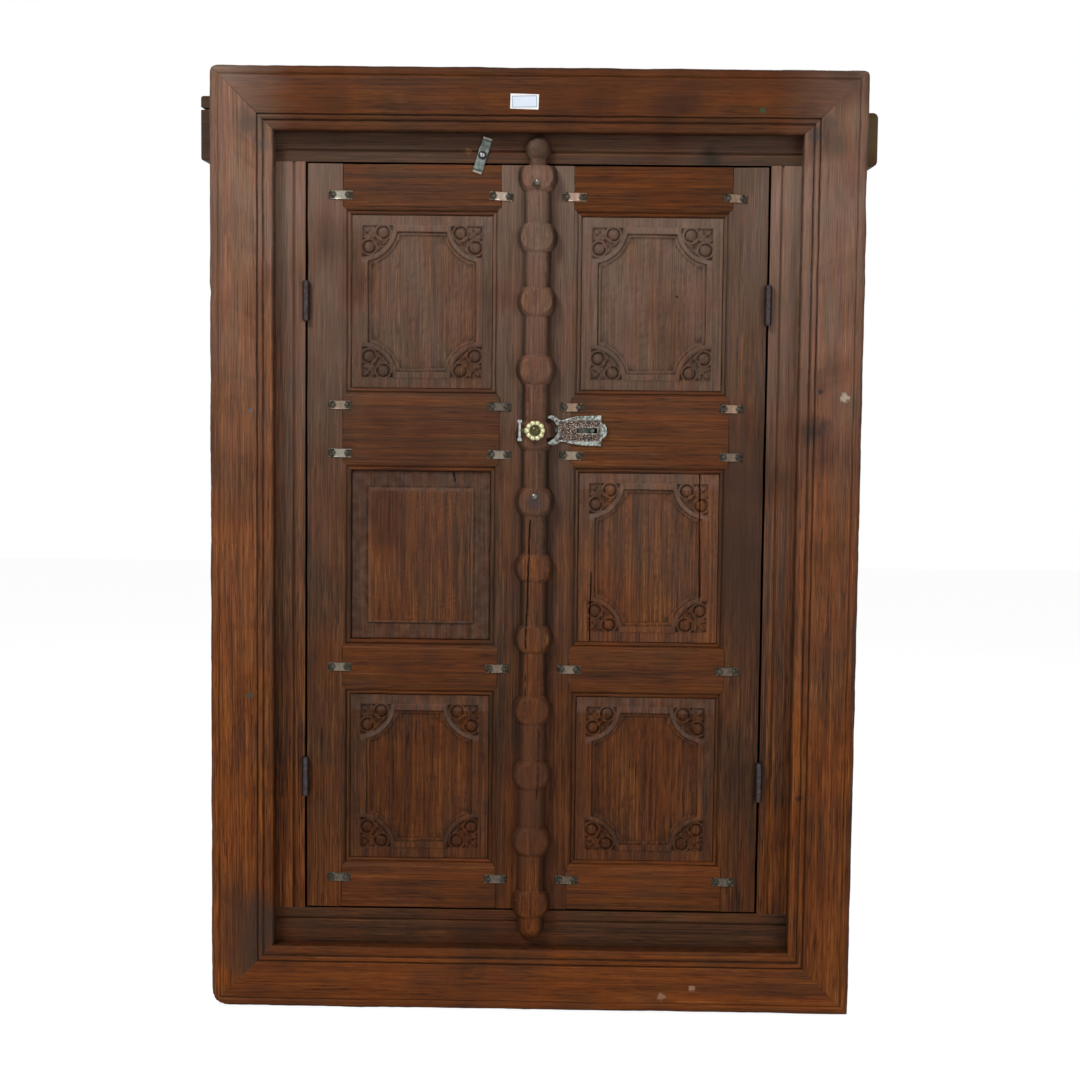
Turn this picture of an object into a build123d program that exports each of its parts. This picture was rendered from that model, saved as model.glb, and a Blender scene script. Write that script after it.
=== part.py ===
from build123d import *
import os
from math import atan2, degrees

os.makedirs("parts", exist_ok=True)

# An old teak window with carved double doors, hung on a wall over a mirror. Lengths in millimetres.
# X runs across, Z runs up, the wall is the plane Y = 0 and the front faces -Y.
# The origin lies midway between the two wall hangers. Heights are counted from the casing's foot.

# Overall
casing_width = 840.0
casing_height = 1225.0
casing_board = 82.0
casing_thickness = 25.0
frame_depth = 60.0
side_reveal = 38.5
head_reveal = 37.0
sill_reveal = 46.0
hanger_from_top = 78.0

# Clearances
running_gap = 0.3
joint_gap = 0.25
fit_gap = 0.05
cut_run = 5.0

# Main frame behind the casing
post_setback = 12.5
sill_setback = 20.0
head_setback = 37.0
horn_reach = 14.0
horn_round = 7.0
horn_step = 14.0
horn_slit = 3.0
horn_slit_drop = 16.5
horn_slit_run = 22.0
bead_strip = 12.3
bead_groove = 4.6
bead_groove_depth = 3.0
rebate_width = 14.0
leaf_back_gap = 4.0
post_tenon = 36.0
post_tenon_thickness = 18.0
post_tenon_share = 0.55

# Casing boards
edge_band = 11.0
edge_quirk = 2.4
edge_quirk_depth = 2.4
moulding_width = 21.0
moulding_drop = 11.0
mitre_gap = 0.3
corner_rounds = (6.0, 6.0, 12.0, 3.0)
edge_wear = 1.8
edge_wear_radius = 75.0
edge_wear_from_top = 139.0
edge_nick = 1.3
edge_nick_radius = 26.0
edge_nick_from_top = 288.0

# Leaves
leaf_thickness = 26.0
leaf_side_gap = 3.0
leaf_end_gap = 2.4
meeting_gap = 4.4
hinge_stile = 56.5
meeting_stile = 55.3
bottom_rail = 65.6
middle_rail = 73.0
lock_rail = 107.4
top_rail = 64.4
panel_height_shares = (0.3295, 0.3346, 0.3359)
sticking_width = 10.5
sticking_depth = 6.4
tenon_length = 26.0
tenon_thickness = 8.0
tenon_share = 0.62

# Panels
panel_recess = 9.0
panel_seat = 11.0
panel_tongue = 8.0
panel_groove = 8.0
panel_edge_gap = 0.8
panel_margin = 13.0
band_width = 12.5
band_height = 3.0
ledge_width = 4.2
ledge_height = 1.5
corner_radius = 47.0
corner_rim = 6.0
corner_ground = 0.6
eye_radius = 6.0
eye_along = 28.4
eye_inset = 8.2
eye_height = 2.6
plain_field_inset = 22.0
plain_ledge = 3.6
plain_step = 1.1

# Hinges
knuckle_radius = 4.5
pin_radius = 2.0
pin_gap = 0.04
hinge_length = 50.0
hinge_flap_setback = 2.0
knuckle_clear = 0.7
knuckle_gap = 0.2
knuckles = 5
hinge_neck = 2.0
upper_hinge_drop = 178.1
lower_hinge_rise = 177.4
hinge_screw_radius = 1.6
hinge_screw_head = 3.0
hinge_screw_sink = 0.9
hinge_screw_length = 16.0
hinge_screw_pitch = 17.0
pin_cap = 1.2
pin_cap_radius = 3.2

# Cover batten on the left leaf, a split turned column
batten_radius = 18.0
batten_foot_lap = 36.5
batten_head_lap = 34.7
boss_radius = 26.0
boss_length = 36.0
batten_flat = 20.6
finial_radius = 17.0
neck_radius = 12.0
neck_length = 9.0
boss_below_knob_shares = (0.0728, 0.1983, 0.3309, 0.4606, 0.6017, 0.7418, 0.8712)
boss_above_knob_shares = (0.2221, 0.4497, 0.6627, 0.8646)
stud_radius = 3.6
stud_height = 1.4
stud_shank = 1.4
stud_length = 11.0
stud_offset = 7.8
batten_screw_radius = 1.8
batten_screw_head = 3.6
batten_screw_sink = 2.4
batten_screw_bite = 11.0
batten_screw_inset = 8.5
batten_screw_shares = (0.09, 0.335, 0.668, 0.917)

# Pull knob with its side arm, on the batten
knob_over_rail_middle = 1.4
knob_over_boss = 7.2
knob_collar_radius = 7.0
knob_collar = 2.6
petals = 10
petal_radius = 3.4
petal_circle = 9.1
petal_core = 9.6
petal_thickness = 2.8
dome_radius = 5.3
dome_height = 3.4
knob_spigot_radius = 3.0
knob_spigot = 13.0
arm_reach = 18.6
arm_root = 8.5
arm_tip = 4.6
arm_thickness = 3.0
crossbar_length = 27.0
crossbar_width = 2.6
crossbar_flare = 5.4
crossbar_flare_length = 3.4

# Bolt case, bar and mortise
case_thickness = 3.0
case_mouth_depth = 29.6
case_mouth_gap = 0.7
case_mouth_keep = 9.0
case_horn_reach = 15.4
case_horn_half = 17.4
case_horn_blunt = 0.9
case_neck_half = 14.0
case_end_half = 19.8
case_body_end = 85.0
case_nose_end = 93.0
case_nose_half = 9.4
slot_start = 53.5
slot_end = 80.0
slot_half = 3.4
bolt_half = 3.6
bolt_thickness = 5.4
bolt_side_gap = 0.1
bolt_tip_setback = 0.6
bolt_tail = 76.6
bolt_throw = 16.0
bolt_stud_radius = 2.7
bolt_stud_rise = 2.0
case_nail_radius = 2.3
case_nail_rise = 0.9
case_nail_shank = 1.2
case_nail_length = 11.0
case_nail_shares = ((0.06, 0.74), (0.06, -0.74), (0.72, 0.74), (0.72, -0.74))

# Turn button on the head beam
button_length = 48.0
button_width = 13.0
button_thickness = 2.0
button_lip = 2.2
button_washer = 0.9
button_washer_radius = 4.2
button_tilt = 17.0
button_rise = 9.8
button_offset = 71.7
button_screw_radius = 2.0
button_screw_head = 4.4
button_screw_rise = 2.4
button_screw_bite = 22.0
button_slot = 1.1
button_slot_depth = 1.0

# Repair straps across the leaf joints
strap_length = 31.0
strap_width = 11.5
strap_thickness = 1.5
strap_round = 2.0
strap_nail_radius = 3.0
strap_nail_rise = 1.1
strap_nail_shank = 1.2
strap_nail_length = 13.0
strap_nail_spread = 8.6
strap_off_line = 3.5
strap_from_top = 39.6
strap_from_sticking = 12.0
strap_from_foot = 39.6

# Mirror, backing and wall hangers
glass_thickness = 4.0
glass_gap = 2.0
backing_thickness = 3.0
stop_width = 20.0
stop_thickness = 12.0
stop_screw_radius = 1.5
stop_screw_head = 3.0
stop_screw_sink = 2.0
stop_screw_bite = 18.0
stop_screw_shares = (0.12, 0.5, 0.88)
hanger_inset = 100.0
hanger_hole = 4.0
hanger_length = 74.0
hanger_width = 26.0
hanger_thickness = 2.5
hanger_pocket_radius = 9.0
hanger_pocket_depth = 14.0
hanger_screw_spread = 26.0
hanger_screw_radius = 2.0
hanger_screw_head = 3.8
hanger_screw_sink = 1.4
hanger_screw_length = 32.0

# Paper label
label_width = 36.0
label_height = 19.0
label_thickness = 0.2
label_offset = 17.8
label_from_top = 43.7
label_tilt = 1.5

# Derived places
half_casing = casing_width / 2
opening_width = casing_width - 2 * (casing_board + side_reveal)
opening_foot = casing_board + sill_reveal
opening_height = casing_height - opening_foot - casing_board - head_reveal
half_opening = opening_width / 2
hanger_height = casing_height - hanger_from_top
hanger_spacing = casing_width - 2 * hanger_inset
post_width = side_reveal + casing_board - post_setback
sill_height = sill_reveal + casing_board - sill_setback
head_height = head_reveal + casing_board - head_setback
casing_front = frame_depth + casing_thickness
rebate_depth = leaf_thickness + leaf_back_gap
rebate_stand = frame_depth - rebate_depth
hinge_flap = leaf_thickness - hinge_flap_setback
hinge_stand = knuckle_radius + knuckle_clear


def up(height):
    return height - hanger_height


foot_z = up(0)
top_z = up(casing_height)
sill_z = up(opening_foot)
head_z = up(opening_foot + opening_height)
inner_half = half_casing - casing_board


def block(low, high, mode=Mode.ADD):
    """A box between two opposite corners."""
    size = [b - a for a, b in zip(low, high)]
    with Locations(tuple((a + b) / 2 for a, b in zip(low, high))):
        Box(*size, mode=mode)


def rod(start, direction, radius, length, mode=Mode.ADD):
    """A cylinder that runs from a point along a direction."""
    with Locations(Plane(origin=start, z_dir=direction)):
        Cylinder(radius, length, align=(Align.CENTER, Align.CENTER, Align.MIN), mode=mode)


def outline(points, stand, depth, mode=Mode.ADD, taper=0):
    """A prism on an outline seen from the front, from its stand off the wall back towards it."""
    with BuildSketch(Plane.XZ.offset(stand)) as face:
        with BuildLine():
            Polyline(*points, close=True)
        make_face()
    extrude(face.sketch, amount=-depth, taper=taper, mode=mode)


def panel_box(centre, size, stand, depth, mode=Mode.ADD, taper=0):
    """A rectangular prism seen from the front, which may draw in as it goes back."""
    with BuildSketch(Plane.XZ.offset(stand)) as face:
        with Locations(centre):
            Rectangle(*size)
    extrude(face.sketch, amount=-depth, taper=taper, mode=mode)


def finish(part, name):
    part.part.label = name
    export_step(part.part, f"parts/{name}.step")


# Casing: four mitred boards with an edge band, a flat field and a stepped inner moulding
edge_shares = ((0.0, 0.66), (0.05, 0.8), (0.16, 0.91), (0.34, 0.975), (0.6, 1.0), (0.85, 0.985), (1.0, 0.94))
moulding_shares = ((0.0, 0.0), (0.02, 0.2), (0.075, 0.2), (0.1, 0.1), (0.21, 0.1), (0.25, 0.3), (0.37, 0.46),
                   (0.4, 0.36), (0.47, 0.36), (0.5, 0.64), (0.57, 0.76), (0.6, 0.56), (0.66, 0.45),
                   (0.76, 0.41), (0.87, 0.48), (0.95, 0.66), (1.0, 1.0))


def casing_profile():
    """Pairs of (distance in from the outer edge, stand off the wall)."""
    points = [(0, frame_depth)]
    points += [(edge_band * a, frame_depth + casing_thickness * b) for a, b in edge_shares]
    points += [(edge_band + edge_quirk / 2, casing_front - edge_quirk_depth),
               (edge_band + edge_quirk, casing_front)]
    points += [(casing_board - moulding_width * (1 - a), casing_front - moulding_drop * b)
               for a, b in moulding_shares]
    return points + [(casing_board, frame_depth)]


def casing_board_part(side, corners):
    """One board: its section run the full length, cut to its mitres and rounded at the outer corners."""
    with BuildPart() as board:
        if side in ("top", "bottom"):
            sign, edge = (1, top_z) if side == "top" else (-1, foot_z)
            points = [(-stand, edge - sign * across) for across, stand in casing_profile()]
            with BuildSketch(Plane.YZ):
                with BuildLine():
                    Polyline(*points, close=True)
                make_face()
            extrude(amount=half_casing, both=True)
        else:
            sign = -1 if side == "left" else 1
            points = [(sign * (half_casing - across), -stand) for across, stand in casing_profile()]
            with BuildSketch(Plane.XY.offset(foot_z)):
                with BuildLine():
                    Polyline(*points, close=True)
                make_face()
            extrude(amount=casing_height)
        outline(corners, casing_front + cut_run, casing_thickness + 2 * cut_run, Mode.INTERSECT)
        with BuildSketch(Plane.XZ.offset(casing_front + cut_run)):
            with Locations((0, (foot_z + top_z) / 2)):
                Rectangle(casing_width, casing_height)
            for (right, upper), radius in zip(((-1, 1), (1, 1), (-1, -1), (1, -1)), corner_rounds):
                corner = (right * half_casing, top_z if upper > 0 else foot_z, 0)
                fillet(vertices().sort_by_distance(corner)[0], radius)
        extrude(amount=-(casing_thickness + 2 * cut_run), mode=Mode.INTERSECT)
        if side == "right":
            rod((half_casing + edge_wear_radius - edge_wear, -frame_depth + cut_run,
                 top_z - edge_wear_from_top), (0, -1, 0), edge_wear_radius, casing_thickness + 2 * cut_run,
                Mode.SUBTRACT)
        if side == "left":
            rod((-half_casing - edge_nick_radius + edge_nick, -frame_depth + cut_run,
                 top_z - edge_nick_from_top), (0, -1, 0), edge_nick_radius, casing_thickness + 2 * cut_run,
                Mode.SUBTRACT)
    return board


g = mitre_gap / 2
inner_top, inner_foot = top_z - casing_board, foot_z + casing_board
casing_outlines = {
    "top": [(-half_casing + g, top_z), (half_casing - g, top_z), (inner_half - g, inner_top),
            (-inner_half + g, inner_top)],
    "bottom": [(-half_casing + g, foot_z), (half_casing - g, foot_z), (inner_half - g, inner_foot),
               (-inner_half + g, inner_foot)],
    "left": [(-half_casing, foot_z + g), (-half_casing, top_z - g), (-inner_half, inner_top - g),
             (-inner_half, inner_foot + g)],
    "right": [(half_casing, foot_z + g), (half_casing, top_z - g), (inner_half, inner_top - g),
              (inner_half, inner_foot + g)],
}
for side, corners in casing_outlines.items():
    finish(casing_board_part(side, corners), f"casing_{side}")


# Main frame: head beam with horns past the casing, sill beam and two posts between them
def groove(points, plane, length, mode=Mode.SUBTRACT):
    """A quirk groove run along a plane's normal, both ways."""
    with BuildSketch(plane) as face:
        with BuildLine():
            Polyline(*points, close=True)
        make_face()
    extrude(face.sketch, amount=length, both=True, mode=mode)


half_head = half_casing + horn_reach
post_out = half_opening + post_width
post_mid = half_opening + post_width / 2 + rebate_width / 2
post_tenon_width = (post_width - rebate_width) * post_tenon_share
tenon_stand = frame_depth / 2 + post_tenon_thickness / 2


def post_tenon_block(sign, low, high, gap, mode):
    block((sign * post_mid - post_tenon_width / 2 - gap, -tenon_stand - gap, low),
          (sign * post_mid + post_tenon_width / 2 + gap, -tenon_stand + post_tenon_thickness + gap, high),
          mode)


def hole_places():
    """Wall hanger centres, left then right."""
    return (-hanger_spacing / 2, hanger_spacing / 2)


with BuildPart() as head_beam:
    block((-half_head, -frame_depth, head_z), (half_head, 0, head_z + head_height))
    ends = head_beam.edges().filter_by(Axis.Y)
    fillet(ends.sort_by(Axis.X)[:2], horn_round / 2)
    block((half_casing - cut_run, -frame_depth - cut_run, head_z + head_height - horn_step),
          (half_head + cut_run, cut_run, head_z + head_height + cut_run), Mode.SUBTRACT)
    fillet(head_beam.edges().filter_by(Axis.Y).sort_by(Axis.X)[-2:], horn_round)
    slit_z = head_z + head_height - horn_slit_drop
    outline([(-half_head - cut_run, slit_z - horn_slit / 2), (-half_head - cut_run, slit_z + horn_slit),
             (-half_head + horn_slit_run, slit_z)], frame_depth + cut_run, frame_depth + 2 * cut_run,
            Mode.SUBTRACT)
    groove([(-frame_depth, head_z + bead_strip), (-frame_depth, head_z + bead_strip + bead_groove),
            (-frame_depth + bead_groove_depth, head_z + bead_strip + bead_groove / 2)],
           Plane.YZ, half_opening + post_width / 2)
    block((-half_opening - rebate_width, -rebate_stand, head_z - cut_run),
          (half_opening + rebate_width, cut_run, head_z + rebate_width), Mode.SUBTRACT)
    for sign in (-1, 1):
        post_tenon_block(sign, head_z - cut_run, head_z + post_tenon + joint_gap, joint_gap, Mode.SUBTRACT)
    rod((-button_offset, -frame_depth - cut_run, head_z + button_rise), (0, 1, 0),
        button_screw_radius + fit_gap, cut_run + button_screw_bite + fit_gap, Mode.SUBTRACT)
    for place in hole_places():
        block((place - hanger_length / 2, -hanger_thickness, -hanger_width / 2),
              (place + hanger_length / 2, cut_run, hanger_width / 2), Mode.SUBTRACT)
        rod((place, cut_run, 0), (0, -1, 0), hanger_pocket_radius,
            cut_run + hanger_thickness + hanger_pocket_depth, Mode.SUBTRACT)
        for sign in (-1, 1):
            rod((place + sign * hanger_screw_spread, cut_run, 0), (0, -1, 0), hanger_screw_radius + fit_gap,
                cut_run + hanger_screw_length + fit_gap, Mode.SUBTRACT)

with BuildPart() as sill_beam:
    block((-post_out, -frame_depth, sill_z - sill_height), (post_out, 0, sill_z))
    groove([(-frame_depth, sill_z - bead_strip), (-frame_depth, sill_z - bead_strip - bead_groove),
            (-frame_depth + bead_groove_depth, sill_z - bead_strip - bead_groove / 2)],
           Plane.YZ, half_opening + post_width / 2)
    block((-half_opening - rebate_width, -rebate_stand, sill_z - rebate_width),
          (half_opening + rebate_width, cut_run, sill_z + cut_run), Mode.SUBTRACT)
    for sign in (-1, 1):
        post_tenon_block(sign, sill_z - post_tenon - joint_gap, sill_z + cut_run, joint_gap, Mode.SUBTRACT)

hinge_axis = half_opening - leaf_side_gap / 2
hinge_stand_off = frame_depth + hinge_stand
flap_thickness = (leaf_side_gap - running_gap) / 2
flap_front = frame_depth + running_gap
hinge_middles = {"upper": head_z - upper_hinge_drop, "lower": sill_z + lower_hinge_rise}
flap_screw_stand = flap_front - hinge_flap / 2


def flap_screw_places(middle):
    return [middle + hinge_screw_pitch * k for k in (-1, 0, 1)]


def stop_rows():
    """Where the screws of the side stops and of the end stops stand along them."""
    tall = [sill_z + opening_height * s for s in stop_screw_shares]
    wide = [opening_width * (s - 1 / 2) for s in stop_screw_shares]
    return tall, wide


stop_front = rebate_stand - glass_thickness - backing_thickness
stop_screw_stand = stop_front - stop_thickness / 2
stop_inner = half_opening + rebate_width - stop_width
stop_screw_run = stop_width + stop_screw_bite


def post(sign):
    with BuildPart() as jamb:
        block((min(sign * half_opening, sign * post_out), -frame_depth, sill_z),
              (max(sign * half_opening, sign * post_out), 0, head_z))
        near, far = sign * (half_opening + bead_strip), sign * (half_opening + bead_strip + bead_groove)
        groove([(near, -frame_depth), (far, -frame_depth),
                ((near + far) / 2, -frame_depth + bead_groove_depth)],
               Plane.XY.offset((sill_z + head_z) / 2), opening_height)
        low, high = sorted((sign * (half_opening - cut_run), sign * (half_opening + rebate_width)))
        block((low, -rebate_stand, sill_z - cut_run), (high, cut_run, head_z + cut_run), Mode.SUBTRACT)
        post_tenon_block(sign, head_z, head_z + post_tenon, 0, Mode.ADD)
        post_tenon_block(sign, sill_z - post_tenon, sill_z, 0, Mode.ADD)
        for middle in hinge_middles.values():
            for z in flap_screw_places(middle):
                rod((sign * (half_opening - cut_run), -flap_screw_stand, z), (sign, 0, 0),
                    hinge_screw_radius + fit_gap, cut_run + hinge_screw_length, Mode.SUBTRACT)
        for z in stop_rows()[0]:
            rod((sign * stop_inner, -stop_screw_stand, z), (sign, 0, 0), stop_screw_radius + fit_gap,
                stop_screw_run + fit_gap, Mode.SUBTRACT)
    return jamb


left_post, right_post = post(-1), post(1)
with BuildPart() as head_drilled:
    add(head_beam.part)
    for x in stop_rows()[1]:
        rod((x, -stop_screw_stand, head_z + rebate_width - stop_width), (0, 0, 1),
            stop_screw_radius + fit_gap, stop_screw_run + fit_gap, Mode.SUBTRACT)
with BuildPart() as sill_drilled:
    add(sill_beam.part)
    for x in stop_rows()[1]:
        rod((x, -stop_screw_stand, sill_z - rebate_width + stop_width), (0, 0, -1),
            stop_screw_radius + fit_gap, stop_screw_run + fit_gap, Mode.SUBTRACT)
finish(head_drilled, "head_beam")
finish(sill_drilled, "sill_beam")
finish(left_post, "left_post")
finish(right_post, "right_post")


# Mirror glass, backing board and the stops that hold them in the rebate
glass_half = half_opening + rebate_width - glass_gap
glass_low, glass_high = sill_z - rebate_width + glass_gap, head_z + rebate_width - glass_gap
with BuildPart() as mirror_glass:
    block((-glass_half, -rebate_stand, glass_low), (glass_half, -rebate_stand + glass_thickness, glass_high))
finish(mirror_glass, "mirror_glass")
with BuildPart() as backing_board:
    block((-glass_half, -rebate_stand + glass_thickness, glass_low), (glass_half, -stop_front, glass_high))
finish(backing_board, "backing_board")


def stop_screw(start, direction):
    rod(start, direction, stop_screw_head, stop_screw_sink)
    rod(start, direction, stop_screw_radius, stop_screw_run)


def stop_hole(start, direction):
    rod(start, direction, stop_screw_head + fit_gap, stop_screw_sink, Mode.SUBTRACT)
    rod(start, direction, stop_screw_radius + fit_gap, stop_width + cut_run, Mode.SUBTRACT)


with BuildPart() as side_glass_stops:
    for sign in (-1, 1):
        low, high = sorted((sign * stop_inner, sign * (half_opening + rebate_width)))
        block((low, -stop_front, sill_z - rebate_width + stop_width + joint_gap),
              (high, -stop_front + stop_thickness, head_z + rebate_width - stop_width - joint_gap))
        for z in stop_rows()[0]:
            stop_hole((sign * stop_inner, -stop_screw_stand, z), (sign, 0, 0))
finish(side_glass_stops, "side_glass_stops")
with BuildPart() as end_glass_stops:
    for sign, edge in ((1, head_z + rebate_width), (-1, sill_z - rebate_width)):
        low, high = sorted((edge, edge - sign * stop_width))
        block((-half_opening - rebate_width, -stop_front, low),
              (half_opening + rebate_width, -stop_front + stop_thickness, high))
        for x in stop_rows()[1]:
            stop_hole((x, -stop_screw_stand, edge - sign * stop_width), (0, 0, sign))
finish(end_glass_stops, "end_glass_stops")

# Wall hangers: steel plates let into the head beam's back, each with a hole for a wall pin
for name, place in zip(("left_wall_hanger", "right_wall_hanger"), hole_places()):
    with BuildPart() as hanger:
        block((place - hanger_length / 2 + joint_gap, -hanger_thickness, -hanger_width / 2 + joint_gap),
              (place + hanger_length / 2 - joint_gap, 0, hanger_width / 2 - joint_gap))
        rod((place, cut_run, 0), (0, -1, 0), hanger_hole, hanger_thickness + 2 * cut_run, Mode.SUBTRACT)
        for sign in (-1, 1):
            start = (place + sign * hanger_screw_spread, 0, 0)
            rod(start, (0, -1, 0), hanger_screw_head + fit_gap, hanger_screw_sink, Mode.SUBTRACT)
            rod(start, (0, -1, 0), hanger_screw_radius + fit_gap, hanger_thickness + cut_run, Mode.SUBTRACT)
    finish(hanger, name)
with BuildPart() as back_screws:
    for place in hole_places():
        for sign in (-1, 1):
            start = (place + sign * hanger_screw_spread, 0, 0)
            rod(start, (0, -1, 0), hanger_screw_head, hanger_screw_sink)
            rod(start, (0, -1, 0), hanger_screw_radius, hanger_screw_length)
    for sign in (-1, 1):
        for z in stop_rows()[0]:
            stop_screw((sign * stop_inner, -stop_screw_stand, z), (sign, 0, 0))
    for x in stop_rows()[1]:
        stop_screw((x, -stop_screw_stand, head_z + rebate_width - stop_width), (0, 0, 1))
        stop_screw((x, -stop_screw_stand, sill_z - rebate_width + stop_width), (0, 0, -1))
finish(back_screws, "back_screws")

# Leaves
leaf_low, leaf_high = sill_z + leaf_end_gap, head_z - leaf_end_gap
leaf_stand = {-1: frame_depth + running_gap, 1: frame_depth}
meeting_edge = meeting_gap / 2
hinge_edge = half_opening - leaf_side_gap
meeting_sight = meeting_edge + meeting_stile
hinge_sight = hinge_edge - hinge_stile
meeting_line = meeting_sight - sticking_width
hinge_line = hinge_sight + sticking_width
panel_wide = hinge_sight - meeting_sight
panels_tall = leaf_high - leaf_low - bottom_rail - middle_rail - lock_rail - top_rail
rows = []
row_low = leaf_low
for rail, share in zip((bottom_rail, middle_rail, lock_rail), panel_height_shares):
    row_low += rail
    rows.append((row_low, row_low + panels_tall * share))
    row_low = rows[-1][1]
row_names = ("lower", "middle", "upper")
sticking_shares = {"step": 0.14, "cove": 0.44, "cove_depth": 0.58, "quirk": 0.56, "bead_depth": 0.66}

strap_clear = sticking_width + strap_from_sticking
strap_heights = (leaf_low + strap_from_foot, (rows[0][1] + rows[1][0]) / 2, rows[1][1] + strap_clear,
                 rows[2][0] - strap_clear, leaf_high - strap_from_top)
strap_places = [(a, z) for z in strap_heights for a in (meeting_line, hinge_line + strap_off_line)]
bolt_z = (rows[1][1] + rows[2][0]) / 2 + knob_over_rail_middle
batten_low, batten_high = sill_z - batten_foot_lap, head_z + batten_head_lap
batten_screw_heights = [batten_low + (batten_high - batten_low) * share for share in batten_screw_shares]
case_run = case_body_end - case_mouth_depth
case_nails = [(case_mouth_depth + case_run * a, bolt_z + case_neck_half * b) for a, b in case_nail_shares]


def strap_nail_places():
    return [(a + k * strap_nail_spread, z) for a, z in strap_places for k in (-1, 1)]


def leaf_blank(sign):
    """The whole leaf with its moulded panel openings, before it is divided into stiles and rails."""
    stand = leaf_stand[sign]
    centre_x = sign * (meeting_sight + hinge_sight) / 2
    with BuildPart() as blank:
        low, high = sorted((sign * meeting_edge, sign * hinge_edge))
        block((low, -stand, leaf_low), (high, -stand + leaf_thickness, leaf_high))
        s = sticking_shares
        for low, high in rows:
            centre = (centre_x, (low + high) / 2)

            def size(share):
                grow = 2 * sticking_width * (1 - share)
                return (panel_wide + grow, high - low + grow)

            step, cove = sticking_depth * s["step"], sticking_depth * (s["cove_depth"] - s["step"])
            bead = sticking_depth * (1 - s["bead_depth"])
            panel_box(centre, size(0), stand, step, Mode.SUBTRACT)
            panel_box(centre, size(0), stand - step, cove, Mode.SUBTRACT,
                      degrees(atan2(sticking_width * s["cove"], cove)))
            panel_box(centre, size(s["cove"]), stand - step - cove,
                      sticking_depth * (s["bead_depth"] - s["cove_depth"]), Mode.SUBTRACT)
            with BuildSketch(Plane.XZ.offset(stand - sticking_depth * s["bead_depth"])):
                with Locations(centre):
                    Rectangle(*size(s["cove"]))
                    Rectangle(*size(s["quirk"]), mode=Mode.SUBTRACT)
            extrude(amount=-bead, mode=Mode.SUBTRACT)
            panel_box(centre, size(s["quirk"]), stand - sticking_depth * s["bead_depth"], bead,
                      Mode.SUBTRACT, degrees(atan2(sticking_width * (1 - s["quirk"]), bead)))
            panel_box(centre, size(1), stand, leaf_thickness + cut_run, Mode.SUBTRACT)
            panel_box(centre, (panel_wide + 2 * panel_tongue, high - low + 2 * panel_tongue),
                      stand - panel_seat, panel_groove, Mode.SUBTRACT)
        for a, z in strap_nail_places():
            rod((sign * a, -stand - cut_run, z), (0, 1, 0), strap_nail_shank + fit_gap,
                cut_run + strap_nail_length, Mode.SUBTRACT)
        for middle in hinge_middles.values():
            for z in flap_screw_places(middle):
                rod((sign * (hinge_edge + cut_run), -flap_screw_stand, z), (-sign, 0, 0),
                    hinge_screw_radius + fit_gap, cut_run + hinge_screw_length, Mode.SUBTRACT)
        reach = slot_end + cut_run
        if sign < 0:
            reach = meeting_edge + bolt_throw - bolt_tip_setback + 2 * bolt_side_gap
        half, deep = bolt_half + bolt_side_gap, bolt_thickness + 2 * bolt_side_gap
        low, high = sorted((sign * (meeting_edge - cut_run / 2), sign * reach))
        block((low, -stand - cut_run, bolt_z - half), (high, -frame_depth + deep, bolt_z + half),
              Mode.SUBTRACT)
        if sign > 0:
            for x, z in case_nails:
                rod((x, -stand - cut_run, z), (0, 1, 0), case_nail_shank + fit_gap,
                    cut_run + case_nail_length, Mode.SUBTRACT)
        else:
            for z in batten_screw_heights:
                start = (-batten_screw_inset - meeting_edge, -stand + leaf_thickness, z)
                rod(start, (0, -1, 0), batten_screw_head + fit_gap, batten_screw_sink, Mode.SUBTRACT)
                rod(start, (0, -1, 0), batten_screw_radius + fit_gap, leaf_thickness + cut_run,
                    Mode.SUBTRACT)
    return blank


def tenon_rows():
    """Each rail's name, its outline in (distance from the middle, height) and its tenon's low and high."""
    out = []
    inner_a, inner_b = meeting_line + joint_gap, hinge_line - joint_gap
    sight_a, sight_b = meeting_sight + joint_gap, hinge_sight - joint_gap
    w = sticking_width
    names = ("bottom_rail", "middle_rail", "lock_rail", "top_rail")
    for k, name in enumerate(names):
        under, over = (rows[k - 1][1] if k else None), (rows[k][0] if k < len(rows) else None)
        if under is None:
            shape, low = [(inner_a, leaf_low), (inner_b, leaf_low)], leaf_low
        else:
            shape = [(inner_a, under + w), (sight_a, under), (sight_b, under), (inner_b, under + w)]
            low = under + w
        if over is None:
            shape, high = shape + [(inner_b, leaf_high), (inner_a, leaf_high)], leaf_high
        else:
            shape += [(inner_b, over - w), (sight_b, over), (sight_a, over), (inner_a, over - w)]
            high = over - w
        middle, half = (low + high) / 2, (high - low) * tenon_share / 2
        out.append((name, shape, middle - half, middle + half))
    return out


def stile_outline(edge, line, sight):
    shape = [(edge, leaf_low), (edge, leaf_high), (line, leaf_high)]
    for low, high in reversed(rows):
        shape += [(line, high + sticking_width), (sight, high), (sight, low), (line, low - sticking_width)]
    return shape + [(line, leaf_low)]


tenon_drop = panel_seat


def tenons(sign, low, high, gap, mode, which=(0, 1)):
    """The tenons that a rail sends into both stiles, or their mortises with a gap round them."""
    stand = leaf_stand[sign] - tenon_drop
    ends = ((meeting_line + joint_gap, meeting_line - tenon_length),
            (hinge_line - joint_gap, hinge_line + tenon_length))
    for k in which:
        inner, tip = ends[k]
        tip += gap * (1 if k else -1)
        a, b = sorted((sign * inner, sign * tip))
        block((a, -stand - gap, low - gap), (b, -stand + tenon_thickness + gap, high + gap), mode)


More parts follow.
